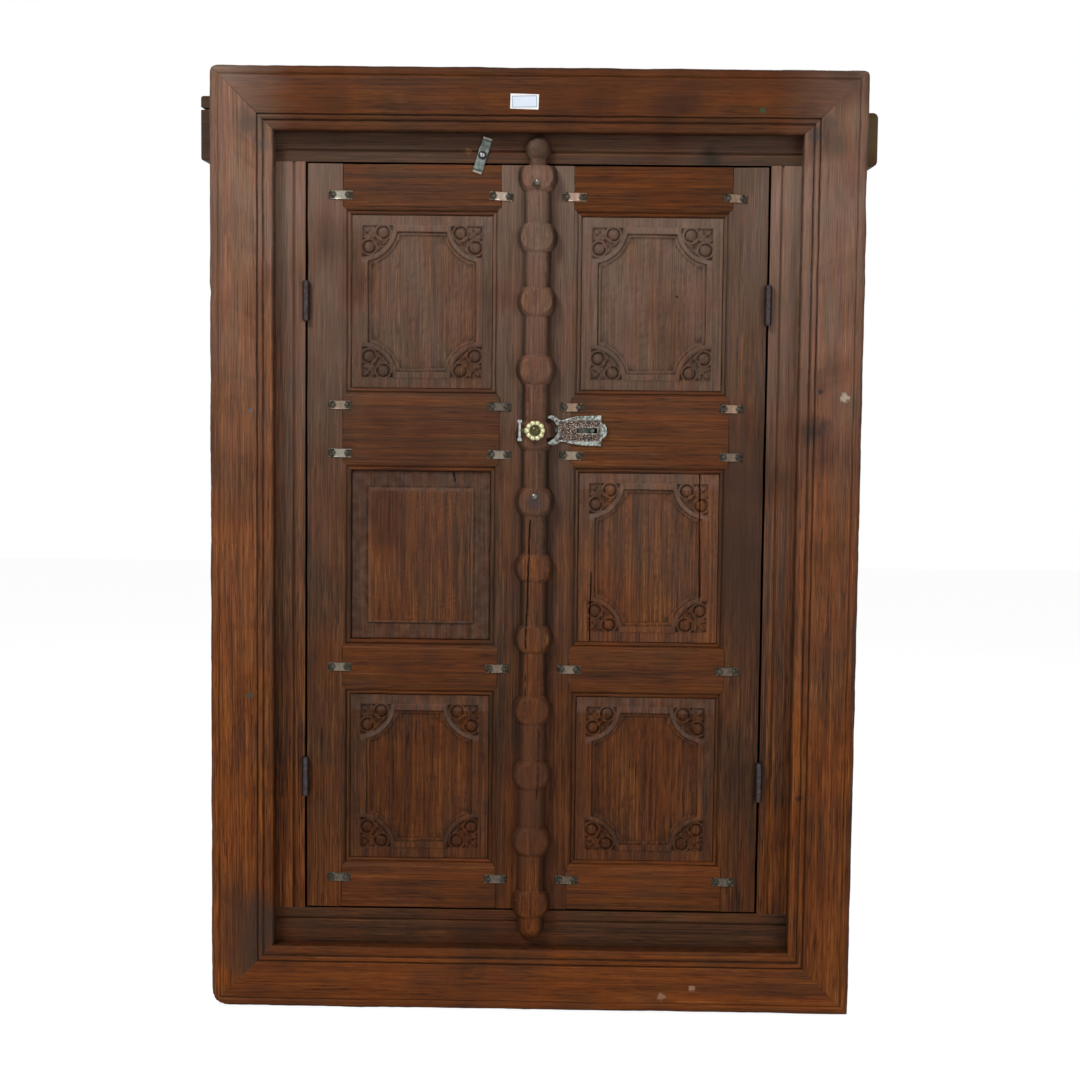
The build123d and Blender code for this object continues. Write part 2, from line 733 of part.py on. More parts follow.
def leaf(side, sign):
    blank = leaf_blank(sign)
    stand = leaf_stand[sign]
    for k, (name, edge, line, sight) in enumerate((("meeting_stile", meeting_edge, meeting_line, meeting_sight),
                                                   ("hinge_stile", hinge_edge, hinge_line, hinge_sight))):
        with BuildPart() as stile:
            add(blank.part)
            outline([(sign * a, z) for a, z in stile_outline(edge, line, sight)], stand + cut_run,
                    leaf_thickness + 2 * cut_run, Mode.INTERSECT)
            for _, _, low, high in tenon_rows():
                tenons(sign, low, high, joint_gap, Mode.SUBTRACT, (k,))
        finish(stile, f"{side}_{name}")
    for name, shape, low, high in tenon_rows():
        with BuildPart() as rail:
            add(blank.part)
            outline([(sign * a, z) for a, z in shape], stand + cut_run, leaf_thickness + 2 * cut_run,
                    Mode.INTERSECT)
            tenons(sign, low, high, 0, Mode.ADD)
        if name == "lock_rail" and sign > 0:
            with BuildPart() as trimmed:
                add(rail.part)
                half = bolt_half + bolt_side_gap
                block((meeting_edge, -stand - cut_run, bolt_z - half),
                      (slot_end + cut_run, -frame_depth + bolt_thickness + 2 * bolt_side_gap, bolt_z + half),
                      Mode.SUBTRACT)
                for x, z in case_nails:
                    rod((x, -stand - cut_run, z), (0, 1, 0), case_nail_shank + fit_gap,
                        cut_run + case_nail_length, Mode.SUBTRACT)
            rail = trimmed
        with BuildPart() as drilled:
            add(rail.part)
            for a, z in strap_nail_places():
                rod((sign * a, -stand - cut_run, z), (0, 1, 0), strap_nail_shank + fit_gap,
                    cut_run + strap_nail_length, Mode.SUBTRACT)
        finish(drilled, f"{side}_{name}")


leaf("left", -1)
leaf("right", 1)


# Panels: a tongue in the leaf's groove and a front that carries the carving
def panel(side, sign, row):
    low, high = rows[row]
    stand = leaf_stand[sign]
    centre = (sign * (meeting_sight + hinge_sight) / 2, (low + high) / 2)
    wide, tall = panel_wide, high - low
    face = stand - panel_recess
    grip = 2 * (panel_tongue - panel_edge_gap)
    with BuildPart() as made:
        panel_box(centre, (wide + grip, tall + grip), stand - panel_seat, panel_groove - running_gap)
        panel_box(centre, (wide - 2 * panel_edge_gap, tall - 2 * panel_edge_gap), face,
                  panel_seat - panel_recess)
        if side == "left" and row == 1:
            field = (wide - 2 * plain_field_inset, tall - 2 * plain_field_inset)
            panel_box(centre, field, face + plain_step, plain_step)
            panel_box(centre, [v - 2 * plain_ledge for v in field], face + 2 * plain_step, plain_step)
        else:
            outer = (wide - 2 * panel_margin, tall - 2 * panel_margin)
            corners = [(centre[0] + k * outer[0] / 2, centre[1] + m * outer[1] / 2) for k in (-1, 1)
                       for m in (-1, 1)]
            for inset, radius, height in ((band_width, corner_radius + ledge_width, ledge_height),
                                          (band_width - ledge_width, corner_radius, band_height)):
                with BuildSketch(Plane.XZ.offset(face)):
                    with Locations(centre):
                        Rectangle(*outer)
                    with BuildSketch(Plane.XZ.offset(face), mode=Mode.SUBTRACT):
                        with Locations(centre):
                            Rectangle(outer[0] - 2 * inset, outer[1] - 2 * inset)
                        with Locations(*corners):
                            Circle(radius, mode=Mode.SUBTRACT)
                extrude(amount=height)
            with BuildSketch(Plane.XZ.offset(face + corner_ground)):
                with Locations(centre):
                    Rectangle(*outer)
                with BuildSketch(Plane.XZ.offset(face + corner_ground), mode=Mode.INTERSECT):
                    with Locations(*corners):
                        Circle(corner_radius - corner_rim)
            extrude(amount=band_height + cut_run, mode=Mode.SUBTRACT)
            for x, z in corners:
                k, m = (1 if x < centre[0] else -1), (1 if z < centre[1] else -1)
                for dx, dz in ((eye_along, eye_inset), (eye_inset, eye_along)):
                    rod((x + k * dx, -face + running_gap, z + m * dz), (0, -1, 0), eye_radius,
                        running_gap + eye_height)
    finish(made, f"{side}_{row_names[row]}_panel")


for side, sign in (("left", -1), ("right", 1)):
    for row in range(len(rows)):
        panel(side, sign, row)


# Hinges: butt hinges with their knuckles proud of the front, a fixed flap on the post and one on the leaf
knuckle = hinge_length / knuckles


def hinge_flap_part(sign, middle, fixed):
    low = middle - hinge_length / 2
    near = half_opening - flap_thickness if fixed else hinge_edge
    far = near + flap_thickness
    near, far = sorted((sign * near, sign * far))
    with BuildPart() as flap:
        block((near, -flap_front, low), (far, -flap_front + hinge_flap, low + hinge_length))
        for k in range(knuckles):
            if (k % 2 == 0) == fixed:
                z0, z1 = low + knuckle * k + knuckle_gap / 2, low + knuckle * (k + 1) - knuckle_gap / 2
                rod((sign * hinge_axis, -hinge_stand_off, z0), (0, 0, 1), knuckle_radius, z1 - z0)
                block((near, -hinge_stand_off + pin_radius + pin_gap + hinge_neck / 2, z0),
                      (far, -flap_front + hinge_neck, z1))
        rod((sign * hinge_axis, -hinge_stand_off, low - cut_run), (0, 0, 1), pin_radius + pin_gap,
            hinge_length + 2 * cut_run, Mode.SUBTRACT)
        face, back = (half_opening - flap_thickness, sign) if fixed else (hinge_edge + flap_thickness, -sign)
        for z in flap_screw_places(middle):
            start = (sign * face, -flap_screw_stand, z)
            rod(start, (back, 0, 0), hinge_screw_head + fit_gap, hinge_screw_sink, Mode.SUBTRACT)
            rod(start, (back, 0, 0), hinge_screw_radius + fit_gap, flap_thickness + cut_run, Mode.SUBTRACT)
    return flap


for side, sign in (("left", -1), ("right", 1)):
    for level, middle in hinge_middles.items():
        finish(hinge_flap_part(sign, middle, True), f"{side}_{level}_hinge_fixed_flap")
        finish(hinge_flap_part(sign, middle, False), f"{side}_{level}_hinge_leaf_flap")


def flap_screws(sign, fixed):
    face, back = (half_opening - flap_thickness, sign) if fixed else (hinge_edge + flap_thickness, -sign)
    for middle in hinge_middles.values():
        for z in flap_screw_places(middle):
            start = (sign * face, -flap_screw_stand, z)
            rod(start, (back, 0, 0), hinge_screw_head, hinge_screw_sink)
            rod(start, (back, 0, 0), hinge_screw_radius, flap_thickness + hinge_screw_length - fit_gap)


with BuildPart() as post_hinge_screws:
    flap_screws(-1, True)
    flap_screws(1, True)
finish(post_hinge_screws, "post_hinge_screws")
with BuildPart() as left_hinge_screws:
    flap_screws(-1, False)
finish(left_hinge_screws, "left_leaf_hinge_screws")
with BuildPart() as right_hinge_screws:
    flap_screws(1, False)
finish(right_hinge_screws, "right_leaf_hinge_screws")
with BuildPart() as hinge_pins:
    for sign in (-1, 1):
        for middle in hinge_middles.values():
            low = middle - hinge_length / 2
            rod((sign * hinge_axis, -hinge_stand_off, low - pin_cap), (0, 0, 1), pin_radius,
                hinge_length + 2 * pin_cap)
            rod((sign * hinge_axis, -hinge_stand_off, low - pin_cap), (0, 0, 1), pin_cap_radius, pin_cap)
            rod((sign * hinge_axis, -hinge_stand_off, low + hinge_length), (0, 0, 1), pin_cap_radius,
                pin_cap)
finish(hinge_pins, "hinge_pins")

# Cover batten: a split turned column over the meeting line, fixed to the left leaf
batten_back = leaf_stand[-1]
knob_boss_z = bolt_z - knob_over_boss
boss_heights = [batten_low + (knob_boss_z - batten_low) * share for share in boss_below_knob_shares]
boss_heights += [knob_boss_z]
boss_heights += [knob_boss_z + (batten_high - knob_boss_z) * share for share in boss_above_knob_shares]
stud_heights = (boss_heights[-1] - stud_offset, boss_heights[len(boss_below_knob_shares) - 1] + stud_offset)
neck_high = batten_high - 2 * finial_radius + neck_length / 2
knob_face = batten_back + batten_flat
with BuildPart() as cover_batten:
    rod((0, -batten_back, batten_low + batten_radius), (0, 0, 1), batten_radius,
        neck_high - neck_length - batten_low - batten_radius)
    with Locations((0, -batten_back, batten_low + batten_radius)):
        Sphere(batten_radius)
    rod((0, -batten_back, neck_high - neck_length - running_gap), (0, 0, 1), neck_radius, 2 * neck_length)
    with Locations((0, -batten_back, batten_high - finial_radius)):
        Sphere(finial_radius)
    for z in boss_heights:
        with BuildSketch(Plane.YZ) as bead:
            with BuildLine():
                ThreePointArc((-batten_back - batten_radius, z - boss_length / 2),
                              (-batten_back - boss_radius, z),
                              (-batten_back - batten_radius, z + boss_length / 2))
                Polyline((-batten_back - batten_radius, z + boss_length / 2),
                         (-batten_back, z + boss_length / 2), (-batten_back, z - boss_length / 2),
                         (-batten_back - batten_radius, z - boss_length / 2))
            make_face()
        revolve(axis=Axis((0, -batten_back, z), (0, 0, 1)), revolution_arc=360)
    reach = boss_radius + cut_run
    block((-reach, -batten_back, batten_low - cut_run),
          (reach, -batten_back + 2 * reach, batten_high + cut_run), Mode.SUBTRACT)
    block((-reach, -batten_back - 2 * reach, batten_low - cut_run),
          (reach, -knob_face, batten_high + cut_run), Mode.SUBTRACT)
    for sign in (-1, 1):
        low, high = sorted((bolt_z + sign * (case_horn_half + case_mouth_gap),
                            bolt_z + sign * case_mouth_keep))
        block((case_horn_reach - case_mouth_gap, -knob_face - cut_run, low),
              (reach, -batten_back + cut_run, high), Mode.SUBTRACT)
    rod((0, -knob_face - cut_run, bolt_z), (0, 1, 0), knob_spigot_radius + fit_gap, knob_spigot + cut_run,
        Mode.SUBTRACT)
    for z in stud_heights:
        rod((0, -knob_face - cut_run, z), (0, 1, 0), stud_shank + fit_gap, cut_run + stud_length,
            Mode.SUBTRACT)
    for z in batten_screw_heights:
        rod((-batten_screw_inset - meeting_edge, -batten_back, z), (0, -1, 0), batten_screw_radius + fit_gap,
            batten_screw_bite, Mode.SUBTRACT)
finish(cover_batten, "cover_batten")


def dome(centre, radius, height, direction=(0, -1, 0)):
    """A shallow round head: the cap of a sphere on a disc's rim."""
    sphere_radius = (radius ** 2 + height ** 2) / (2 * height)
    with BuildSketch(Plane(origin=centre, x_dir=(1, 0, 0), z_dir=(0, 0, 1))) as half:
        with BuildLine():
            Line((0, 0), (radius, 0))
            RadiusArc((radius, 0), (0, -height), sphere_radius)
            Line((0, -height), (0, 0))
        make_face()
    revolve(half.sketch, axis=Axis(centre, (0, 1, 0)), revolution_arc=360)


with BuildPart() as batten_fixings:
    for z in stud_heights:
        dome((0, -knob_face, z), stud_radius, stud_height)
        rod((0, -knob_face, z), (0, 1, 0), stud_shank, stud_length - fit_gap)
    for z in batten_screw_heights:
        start = (-batten_screw_inset - meeting_edge, -batten_back + leaf_thickness, z)
        rod(start, (0, -1, 0), batten_screw_head, batten_screw_sink)
        rod(start, (0, -1, 0), batten_screw_radius, leaf_thickness + batten_screw_bite - fit_gap)
finish(batten_fixings, "batten_fixings")

# Pull knob: a petalled brass rosette on a collar, with an arm to a small steel crossbar
with BuildPart() as pull_knob:
    rod((0, -knob_face, bolt_z), (0, -1, 0), knob_collar_radius, knob_collar)
    rod((0, -knob_face, bolt_z), (0, 1, 0), knob_spigot_radius, knob_spigot - fit_gap)
    with BuildSketch(Plane.XZ.offset(knob_face + knob_collar)):
        with Locations((0, bolt_z)):
            Circle(petal_core)
            with PolarLocations(petal_circle, petals):
                Circle(petal_radius)
    extrude(amount=petal_thickness)
    dome((0, -knob_face - knob_collar - petal_thickness, bolt_z), dome_radius, dome_height)
    outline([(-knob_collar_radius / 2, bolt_z + arm_root / 2), (-arm_reach, bolt_z + arm_tip / 2),
             (-arm_reach, bolt_z - arm_tip / 2), (-knob_collar_radius / 2, bolt_z - arm_root / 2)],
            knob_face + knob_collar, knob_collar)
finish(pull_knob, "pull_knob")
with BuildPart() as knob_crossbar:
    bar_x = -arm_reach - crossbar_width / 2
    block((-arm_reach - crossbar_width, -knob_face - arm_thickness, bolt_z - crossbar_length / 2),
          (-arm_reach, -knob_face, bolt_z + crossbar_length / 2))
    for sign in (-1, 1):
        end = bolt_z + sign * crossbar_length / 2
        low, high = sorted((end, end - sign * crossbar_flare_length))
        block((bar_x - crossbar_flare / 2, -knob_face - arm_thickness, low),
              (bar_x + crossbar_flare / 2, -knob_face, high))
finish(knob_crossbar, "knob_crossbar")

# Bolt case on the right leaf, with a forked end round the batten's boss, and its sliding bar
case_stand = frame_depth + case_thickness
mouth_half = case_horn_half - case_horn_blunt
with BuildPart() as bolt_case:
    outline([(case_horn_reach, bolt_z - case_horn_half), (case_mouth_depth, bolt_z - case_neck_half),
             (case_body_end, bolt_z - case_end_half), (case_body_end, bolt_z - case_nose_half),
             (case_nose_end, bolt_z - case_nose_half * 2 / 3),
             (case_nose_end, bolt_z + case_nose_half * 2 / 3), (case_body_end, bolt_z + case_nose_half),
             (case_body_end, bolt_z + case_end_half), (case_mouth_depth, bolt_z + case_neck_half),
             (case_horn_reach, bolt_z + case_horn_half)], case_stand, case_thickness)
    with BuildSketch(Plane.XZ.offset(case_stand + cut_run)):
        with BuildLine():
            ThreePointArc((case_horn_reach, bolt_z - mouth_half), (case_mouth_depth, bolt_z),
                          (case_horn_reach, bolt_z + mouth_half))
            Polyline((case_horn_reach, bolt_z + mouth_half), (0, bolt_z + mouth_half),
                     (0, bolt_z - mouth_half), (case_horn_reach, bolt_z - mouth_half))
        make_face()
    extrude(amount=-case_thickness - 2 * cut_run, mode=Mode.SUBTRACT)
    block((slot_start, -case_stand - cut_run, bolt_z - slot_half),
          (slot_end, -frame_depth + cut_run, bolt_z + slot_half), Mode.SUBTRACT)
    for x, z in case_nails:
        rod((x, -case_stand - cut_run, z), (0, 1, 0), case_nail_shank + fit_gap,
            case_thickness + 2 * cut_run, Mode.SUBTRACT)
finish(bolt_case, "bolt_case")
with BuildPart() as case_nail_set:
    for x, z in case_nails:
        dome((x, -case_stand, z), case_nail_radius, case_nail_rise)
        rod((x, -case_stand, z), (0, 1, 0), case_nail_shank, case_thickness + case_nail_length - fit_gap)
finish(case_nail_set, "bolt_case_nails")
with BuildPart() as bolt_bar:
    stud_x = bolt_tail - bolt_stud_radius
    block((meeting_edge + bolt_tip_setback, -frame_depth + bolt_side_gap, bolt_z - bolt_half),
          (bolt_tail, -frame_depth + bolt_side_gap + bolt_thickness, bolt_z + bolt_half))
    rod((stud_x, -frame_depth + bolt_thickness / 2, bolt_z), (0, -1, 0), bolt_stud_radius,
        bolt_thickness / 2 + case_thickness + bolt_stud_rise)
finish(bolt_bar, "bolt_bar")

# Turn button on the head beam, over the top of the left leaf
pivot = (-button_offset, -frame_depth, head_z + button_rise)
button_stand = frame_depth + button_washer
with BuildPart() as turn_button:
    with BuildSketch(Plane.XZ.offset(button_stand)):
        with Locations(Location((pivot[0], pivot[2]), -button_tilt)):
            RectangleRounded(button_width, button_length, button_width / 4)
            Circle(button_screw_radius + fit_gap, mode=Mode.SUBTRACT)
    extrude(amount=button_thickness)
    with BuildSketch(Plane.XZ.offset(button_stand + button_thickness)):
        with Locations(Location((pivot[0], pivot[2]), -button_tilt)):
            for sign in (-1, 1):
                with Locations((0, sign * (button_length - button_thickness) / 2)):
                    Rectangle(button_width / 2, button_thickness)
    extrude(amount=button_lip)
finish(turn_button, "turn_button")
with BuildPart() as button_screw:
    rod((pivot[0], -button_stand - button_thickness - fit_gap, pivot[2]), (0, 1, 0), button_screw_radius,
        button_washer + button_thickness + button_screw_bite)
    rod((pivot[0], -button_stand - button_thickness - fit_gap - button_screw_rise / 2, pivot[2]), (0, 1, 0),
        button_screw_head, button_screw_rise / 2)
    dome((pivot[0], -button_stand - button_thickness - fit_gap - button_screw_rise / 2, pivot[2]),
         button_screw_head, button_screw_rise / 2)
    head_stand = button_stand + button_thickness + button_screw_rise
    block((pivot[0] - button_slot / 2, -head_stand - cut_run, pivot[2] - button_screw_head),
          (pivot[0] + button_slot / 2, -head_stand + button_slot_depth, pivot[2] + button_screw_head),
          Mode.SUBTRACT)
    with Locations(Plane(origin=(pivot[0], -frame_depth, pivot[2]), z_dir=(0, -1, 0))):
        Cylinder(button_washer_radius, button_washer - fit_gap,
                 align=(Align.CENTER, Align.CENTER, Align.MIN))
finish(button_screw, "button_screw")

# Repair straps across the joints of stiles and rails, and their nails
for side, sign in (("left", -1), ("right", 1)):
    stand = leaf_stand[sign]
    with BuildPart() as straps:
        with BuildSketch(Plane.XZ.offset(stand)):
            with Locations(*[(sign * a, z) for a, z in strap_places]):
                RectangleRounded(strap_length, strap_width, strap_round)
            with Locations(*[(sign * a, z) for a, z in strap_nail_places()]):
                Circle(strap_nail_shank + fit_gap, mode=Mode.SUBTRACT)
        extrude(amount=strap_thickness)
    finish(straps, f"{side}_repair_straps")
    with BuildPart() as nails:
        for a, z in strap_nail_places():
            dome((sign * a, -stand - strap_thickness, z), strap_nail_radius, strap_nail_rise)
            rod((sign * a, -stand - strap_thickness, z), (0, 1, 0), strap_nail_shank,
                strap_thickness + strap_nail_length - fit_gap)
    finish(nails, f"{side}_strap_nails")

# Paper label on the casing's top board
with BuildPart() as paper_label:
    with BuildSketch(Plane.XZ.offset(casing_front)):
        with Locations(Location((-label_offset, top_z - label_from_top), -label_tilt)):
            Rectangle(label_width, label_height)
    extrude(amount=label_thickness)
finish(paper_label, "paper_label")
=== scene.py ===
from functools import reduce
import math

import bmesh
import bpy
import numpy as np
from mathutils import Matrix, Vector, geometry


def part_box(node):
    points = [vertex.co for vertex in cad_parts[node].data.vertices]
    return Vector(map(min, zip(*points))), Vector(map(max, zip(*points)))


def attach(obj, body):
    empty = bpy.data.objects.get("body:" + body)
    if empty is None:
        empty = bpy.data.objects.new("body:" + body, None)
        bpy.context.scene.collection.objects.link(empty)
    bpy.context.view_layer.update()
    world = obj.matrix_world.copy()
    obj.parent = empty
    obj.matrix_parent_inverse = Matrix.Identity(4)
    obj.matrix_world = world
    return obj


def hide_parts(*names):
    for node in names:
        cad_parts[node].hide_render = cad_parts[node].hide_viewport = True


# An old teak window with carved double doors over a mirror. Everything is in metres in the part's own frame:
# X across, Z up, the wall at Y = 0 and the front facing -Y. Small sizes are written in millimetres.
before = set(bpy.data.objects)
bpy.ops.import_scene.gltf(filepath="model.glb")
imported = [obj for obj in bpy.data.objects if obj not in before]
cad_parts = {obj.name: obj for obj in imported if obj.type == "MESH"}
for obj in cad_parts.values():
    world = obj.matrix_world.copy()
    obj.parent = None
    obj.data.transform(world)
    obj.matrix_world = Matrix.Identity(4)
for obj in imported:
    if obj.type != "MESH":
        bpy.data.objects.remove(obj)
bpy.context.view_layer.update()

MM = 0.001
X, Y, Z = 0, 1, 2
SIDES = {"left": -1, "right": 1}
ROWS = ("lower", "middle", "upper")


def reach(node, axis):
    """Lowest and highest place of a CAD node along an axis, in millimetres."""
    low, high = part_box(node)
    return low[axis] / MM, high[axis] / MM


def centre(node):
    """Middle of a CAD node across and in height."""
    return [sum(reach(node, axis)) / 2 for axis in (X, Z)]


# Places taken from the frame
casing_in, casing_out = reach("casing_right", X)
foot, top = reach("casing_bottom", Z)[0], reach("casing_top", Z)[1]
casing_front, casing_back = (-v for v in reach("casing_top", Y))
casing_board = casing_out - casing_in
leaf_low, leaf_high = reach("left_hinge_stile", Z)
meeting_sight, meeting_edge = (-v for v in reach("left_meeting_stile", X))
hinge_edge, hinge_sight = (-v for v in reach("left_hinge_stile", X))
leaf_thickness = reach("left_top_rail", Y)[1] - reach("left_top_rail", Y)[0]
leaf_stand = {side: -reach(f"{side}_top_rail", Y)[0] for side in SIDES}
bolt_z = centre("bolt_bar")[1]
batten_low, batten_high = reach("cover_batten", Z)
batten_flat, batten_back = (-v for v in reach("cover_batten", Y))

# Sizes that the frame's boxes don't give
PANEL_GRIP = 7.2
STICKING = 10.5
STICKING_DEPTH = 6.4
JOINT_GAP = 0.25
PANEL_RECESS = 9.0
PANEL_SEAT = 11.0
PANEL_BACK = 18.7
BOARD_WEAR, STICKING_WEAR = 1.1, 0.35

rows = [tuple(v + k * PANEL_GRIP for v, k in zip(reach(f"left_{row}_panel", Z), (1, -1))) for row in ROWS]
meeting_line, hinge_line = meeting_sight - STICKING, hinge_sight + STICKING


# Meshes
END_STATIONS = (0.0, 0.8, 1.8, 3.0, 4.5, 6.5, 9.0)


def uneven(points, size, seed, waves=7):
    """A smooth unevenness of about -1 to 1 at each point, with hills of about that many millimetres."""
    draw = np.random.default_rng(seed)
    total = np.zeros(points.shape[:-1])
    for _ in range(waves):
        direction = draw.normal(size=3)
        direction *= 2 * math.pi / (size * draw.uniform(0.7, 1.6) * np.linalg.norm(direction))
        total += np.sin(points @ direction + draw.uniform(0, 2 * math.pi))
    return total / math.sqrt(waves)


def bell(value, wide):
    """1 where a value is nothing, falling away softly on both sides."""
    return np.exp(-(value / wide) ** 2)


def arched(value, half):
    """The height of a round arch over its middle, 0 from its half width on."""
    return np.sqrt(np.clip(1 - (value / half) ** 2, 0, 1))


def eased(value, edge, soft):
    """0 below the edge and 1 above it, with a soft slope."""
    t = np.clip((value - edge) / soft + 0.5, 0, 1)
    return t * t * (3 - 2 * t)


def softened(points, wear):
    """A closed outline with its corners worn round."""
    points, out = [np.array(p, float) for p in points], []
    for before, here, after in zip(points[-1:] + points[:-1], points, points[1:] + points[:1]):
        a, b = (here + (other - here) * min(wear / max(np.linalg.norm(other - here), 1e-6), 0.4)
                for other in (before, after))
        out += [a, (a + 2 * here + b) / 4, b]
    return np.array(out)


def shell(points):
    """A closed shell from rings of points, with its two ends filled."""
    m, n = points.shape[:2]
    faces = [[i * n + j, i * n + (j + 1) % n, (i + 1) * n + (j + 1) % n, (i + 1) * n + j]
             for i in range(m - 1) for j in range(n)]
    faces += [list(range(n)), list(range((m - 1) * n, m * n))[::-1]]
    return points.reshape(-1, 3), faces


def swept(section, ends, place, step=9.0, wear=0.22, seed=1):
    """A section run along a board. ends gives where each section point starts and stops."""
    starts, stops = np.array([ends(a, b) for a, b in section]).T
    length = np.abs(stops - starts).max()
    near = np.array(END_STATIONS) / length
    share = np.concatenate([near, np.linspace(near[-1], 1 - near[-1], max(2, int(length / step)))[1:-1],
                            1 - near[::-1]])
    run = starts + (stops - starts) * share[:, None]
    points = place(run, *(np.broadcast_to(v, run.shape) for v in section.T))
    shift = np.stack([uneven(points, size, seed + k) for k, size in enumerate((70, 45, 70))], -1)
    fine = np.stack([uneven(points, 14, seed + 5 + k) for k in range(3)], -1)
    return shell(points + wear * (shift + 0.5 * fine) + np.array((0, wear, 0)))


def slab(front, back_y):
    """A closed shell from a grid of front points and a flat back, whose rim comes last."""
    m, n = front.shape[:2]
    points = front.reshape(-1, 3)
    faces = [[i * n + j, i * n + j + 1, (i + 1) * n + j + 1, (i + 1) * n + j]
             for i in range(m - 1) for j in range(n - 1)]
    rim = list(range(n)) + [i * n + n - 1 for i in range(1, m)]
    rim += [(m - 1) * n + j for j in range(n - 2, -1, -1)] + [i * n for i in range(m - 2, 0, -1)]
    back, count = points[rim].copy(), len(points)
    back[:, 1] = back_y
    loop = len(rim)
    faces += [[rim[k], rim[(k + 1) % loop], count + (k + 1) % loop, count + k] for k in range(loop)]
    faces.append([count + k for k in range(loop)])
    return (np.vstack([points, back]), faces), loop


def placed(name, data):
    """A new object in the scene."""
    made = bpy.data.objects.new(name, data)
    bpy.context.scene.collection.objects.link(made)
    return made


def face_outward(mesh):
    bm = bmesh.new()
    bm.from_mesh(mesh)
    bmesh.ops.recalc_face_normals(bm, faces=bm.faces)
    bm.to_mesh(mesh)
    bm.free()


def evaluated(made):
    """An object as its modifiers leave it."""
    return made.evaluated_get(bpy.context.evaluated_depsgraph_get())


def channelled(board, low, high):
    """Cuts the box between two corners out of a closed shell."""
    corners = np.array([[x, y, z] for x in (low[0], high[0]) for y in (low[1], high[1])
                        for z in (low[2], high[2])])
    box = corners, [[0, 1, 3, 2], [4, 6, 7, 5], [0, 4, 5, 1], [2, 3, 7, 6], [0, 2, 6, 4], [1, 5, 7, 3]]
    pair = [placed("cut", solid_mesh("cut", [each])) for each in (board, box)]
    for each in pair:
        face_outward(each.data)
    cut = pair[0].modifiers.new("channel", "BOOLEAN")
    cut.operation, cut.solver, cut.object = "DIFFERENCE", "EXACT", pair[1]
    made = evaluated(pair[0]).to_mesh()
    points = np.array([tuple(v.co / MM) for v in made.vertices])
    faces = [list(p.vertices) for p in made.polygons]
    for each in pair:
        bpy.data.objects.remove(each, do_unlink=True)
    return points, faces


def carry(mesh, values):
    """Gives a mesh named values for its material, one for each point."""
    for key, value in values.items():
        mesh.attributes.new(key, "FLOAT", "POINT").data.foreach_set("value", value)


def solid_mesh(name, shells, values=None):
    """A mesh in metres from closed shells in millimetres."""
    vertices, faces = [], []
    for points, loops in shells:
        faces += [[k + len(vertices) for k in loop] for loop in loops]
        vertices += [tuple(p) for p in np.asarray(points) * MM]
    mesh = bpy.data.meshes.new(name)
    mesh.from_pydata(vertices, [], faces)
    carry(mesh, values or {})
    return mesh


def with_rim(rim, **grids):
    """Values over a slab's front, and 0 along the rim of its back."""
    return {key: np.concatenate([grid.ravel(), np.zeros(rim)]) for key, grid in grids.items()}


def smoothed(mesh, sharp):
    """Shades a mesh smooth but for its edges sharper than an angle."""
    mesh.shade_smooth()
    mesh.set_sharp_from_angle(angle=math.radians(sharp))


def piece(name, shells, body, replaced, material, sharp=38, values=None):
    """One finished object from closed shells, on its body and standing for its CAD nodes."""
    mesh = solid_mesh(name, shells, values)
    face_outward(mesh)
    mesh.materials.append(material)
    return settle(mesh, name, body, replaced, sharp)


def settle(mesh, name, body, replaced, sharp):
    """Makes a mesh an object on its body and the CAD nodes it stands for."""
    smoothed(mesh, sharp)
    made = placed(name, mesh)
    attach(made, body)
    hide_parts(*replaced)
    return made


# Materials
def linear(code):
    """A hex colour as it is written, in linear light."""
    parts = [int(code[k:k + 2], 16) / 255 for k in (1, 3, 5)]
    return (*(c / 12.92 if c <= 0.04045 else ((c + 0.055) / 1.055) ** 2.4 for c in parts), 1.0)


def connect(tree, made, links):
    """Gives each input of a node a value or another node's output."""
    for key, value in links.items():
        if isinstance(value, bpy.types.NodeSocket):
            tree.links.new(value, made.inputs[key])
        else:
            made.inputs[key].default_value = value


def node(tree, kind, links=None, **settings):
    """Adds a node with its settings and links."""
    made = tree.nodes.new(kind)
    for key, value in settings.items():
        setattr(made, key, value)
    connect(tree, made, links or {})
    return made


def material(name, metallic=0.0, ior=1.5):
    """A new material with its node tree and its shader."""
    made = bpy.data.materials.new(name)
    made.use_nodes = True
    tree = made.node_tree
    tree.nodes.clear()
    shader = node(tree, "ShaderNodeBsdfPrincipled", {"Metallic": metallic, "IOR": ior})
    node(tree, "ShaderNodeOutputMaterial", {"Surface": shader.outputs[0]})
    return made, tree, shader


def maths(tree, operation, *values):
    return node(tree, "ShaderNodeMath", dict(enumerate(values)), operation=operation).outputs[0]


def plus(tree, *values):
    return reduce(lambda a, b: maths(tree, "ADD", a, b), values)


def times(tree, *values):
    return reduce(lambda a, b: maths(tree, "MULTIPLY", a, b), values)


def biggest(tree, *values):
    return reduce(lambda a, b: maths(tree, "MAXIMUM", a, b), values)


def size_of(tree, value):
    """A value without its sign."""
    return maths(tree, "ABSOLUTE", value)


def spread(tree, value, low, high, start=0.0, stop=1.0):
    """Stretches the span from low to high over the span from start to stop."""
    return node(tree, "ShaderNodeMapRange", {0: value, 1: low, 2: high, 3: start, 4: stop}).outputs[0]


def mixed(tree, factor, a, b, blend="MIX"):
    """Two colours mixed, each a hex code or another node's output."""
    a, b = (linear(colour) if isinstance(colour, str) else colour for colour in (a, b))
    links = {0: factor, 6: a, 7: b}
    return node(tree, "ShaderNodeMix", links, data_type="RGBA", blend_type=blend).outputs[2]


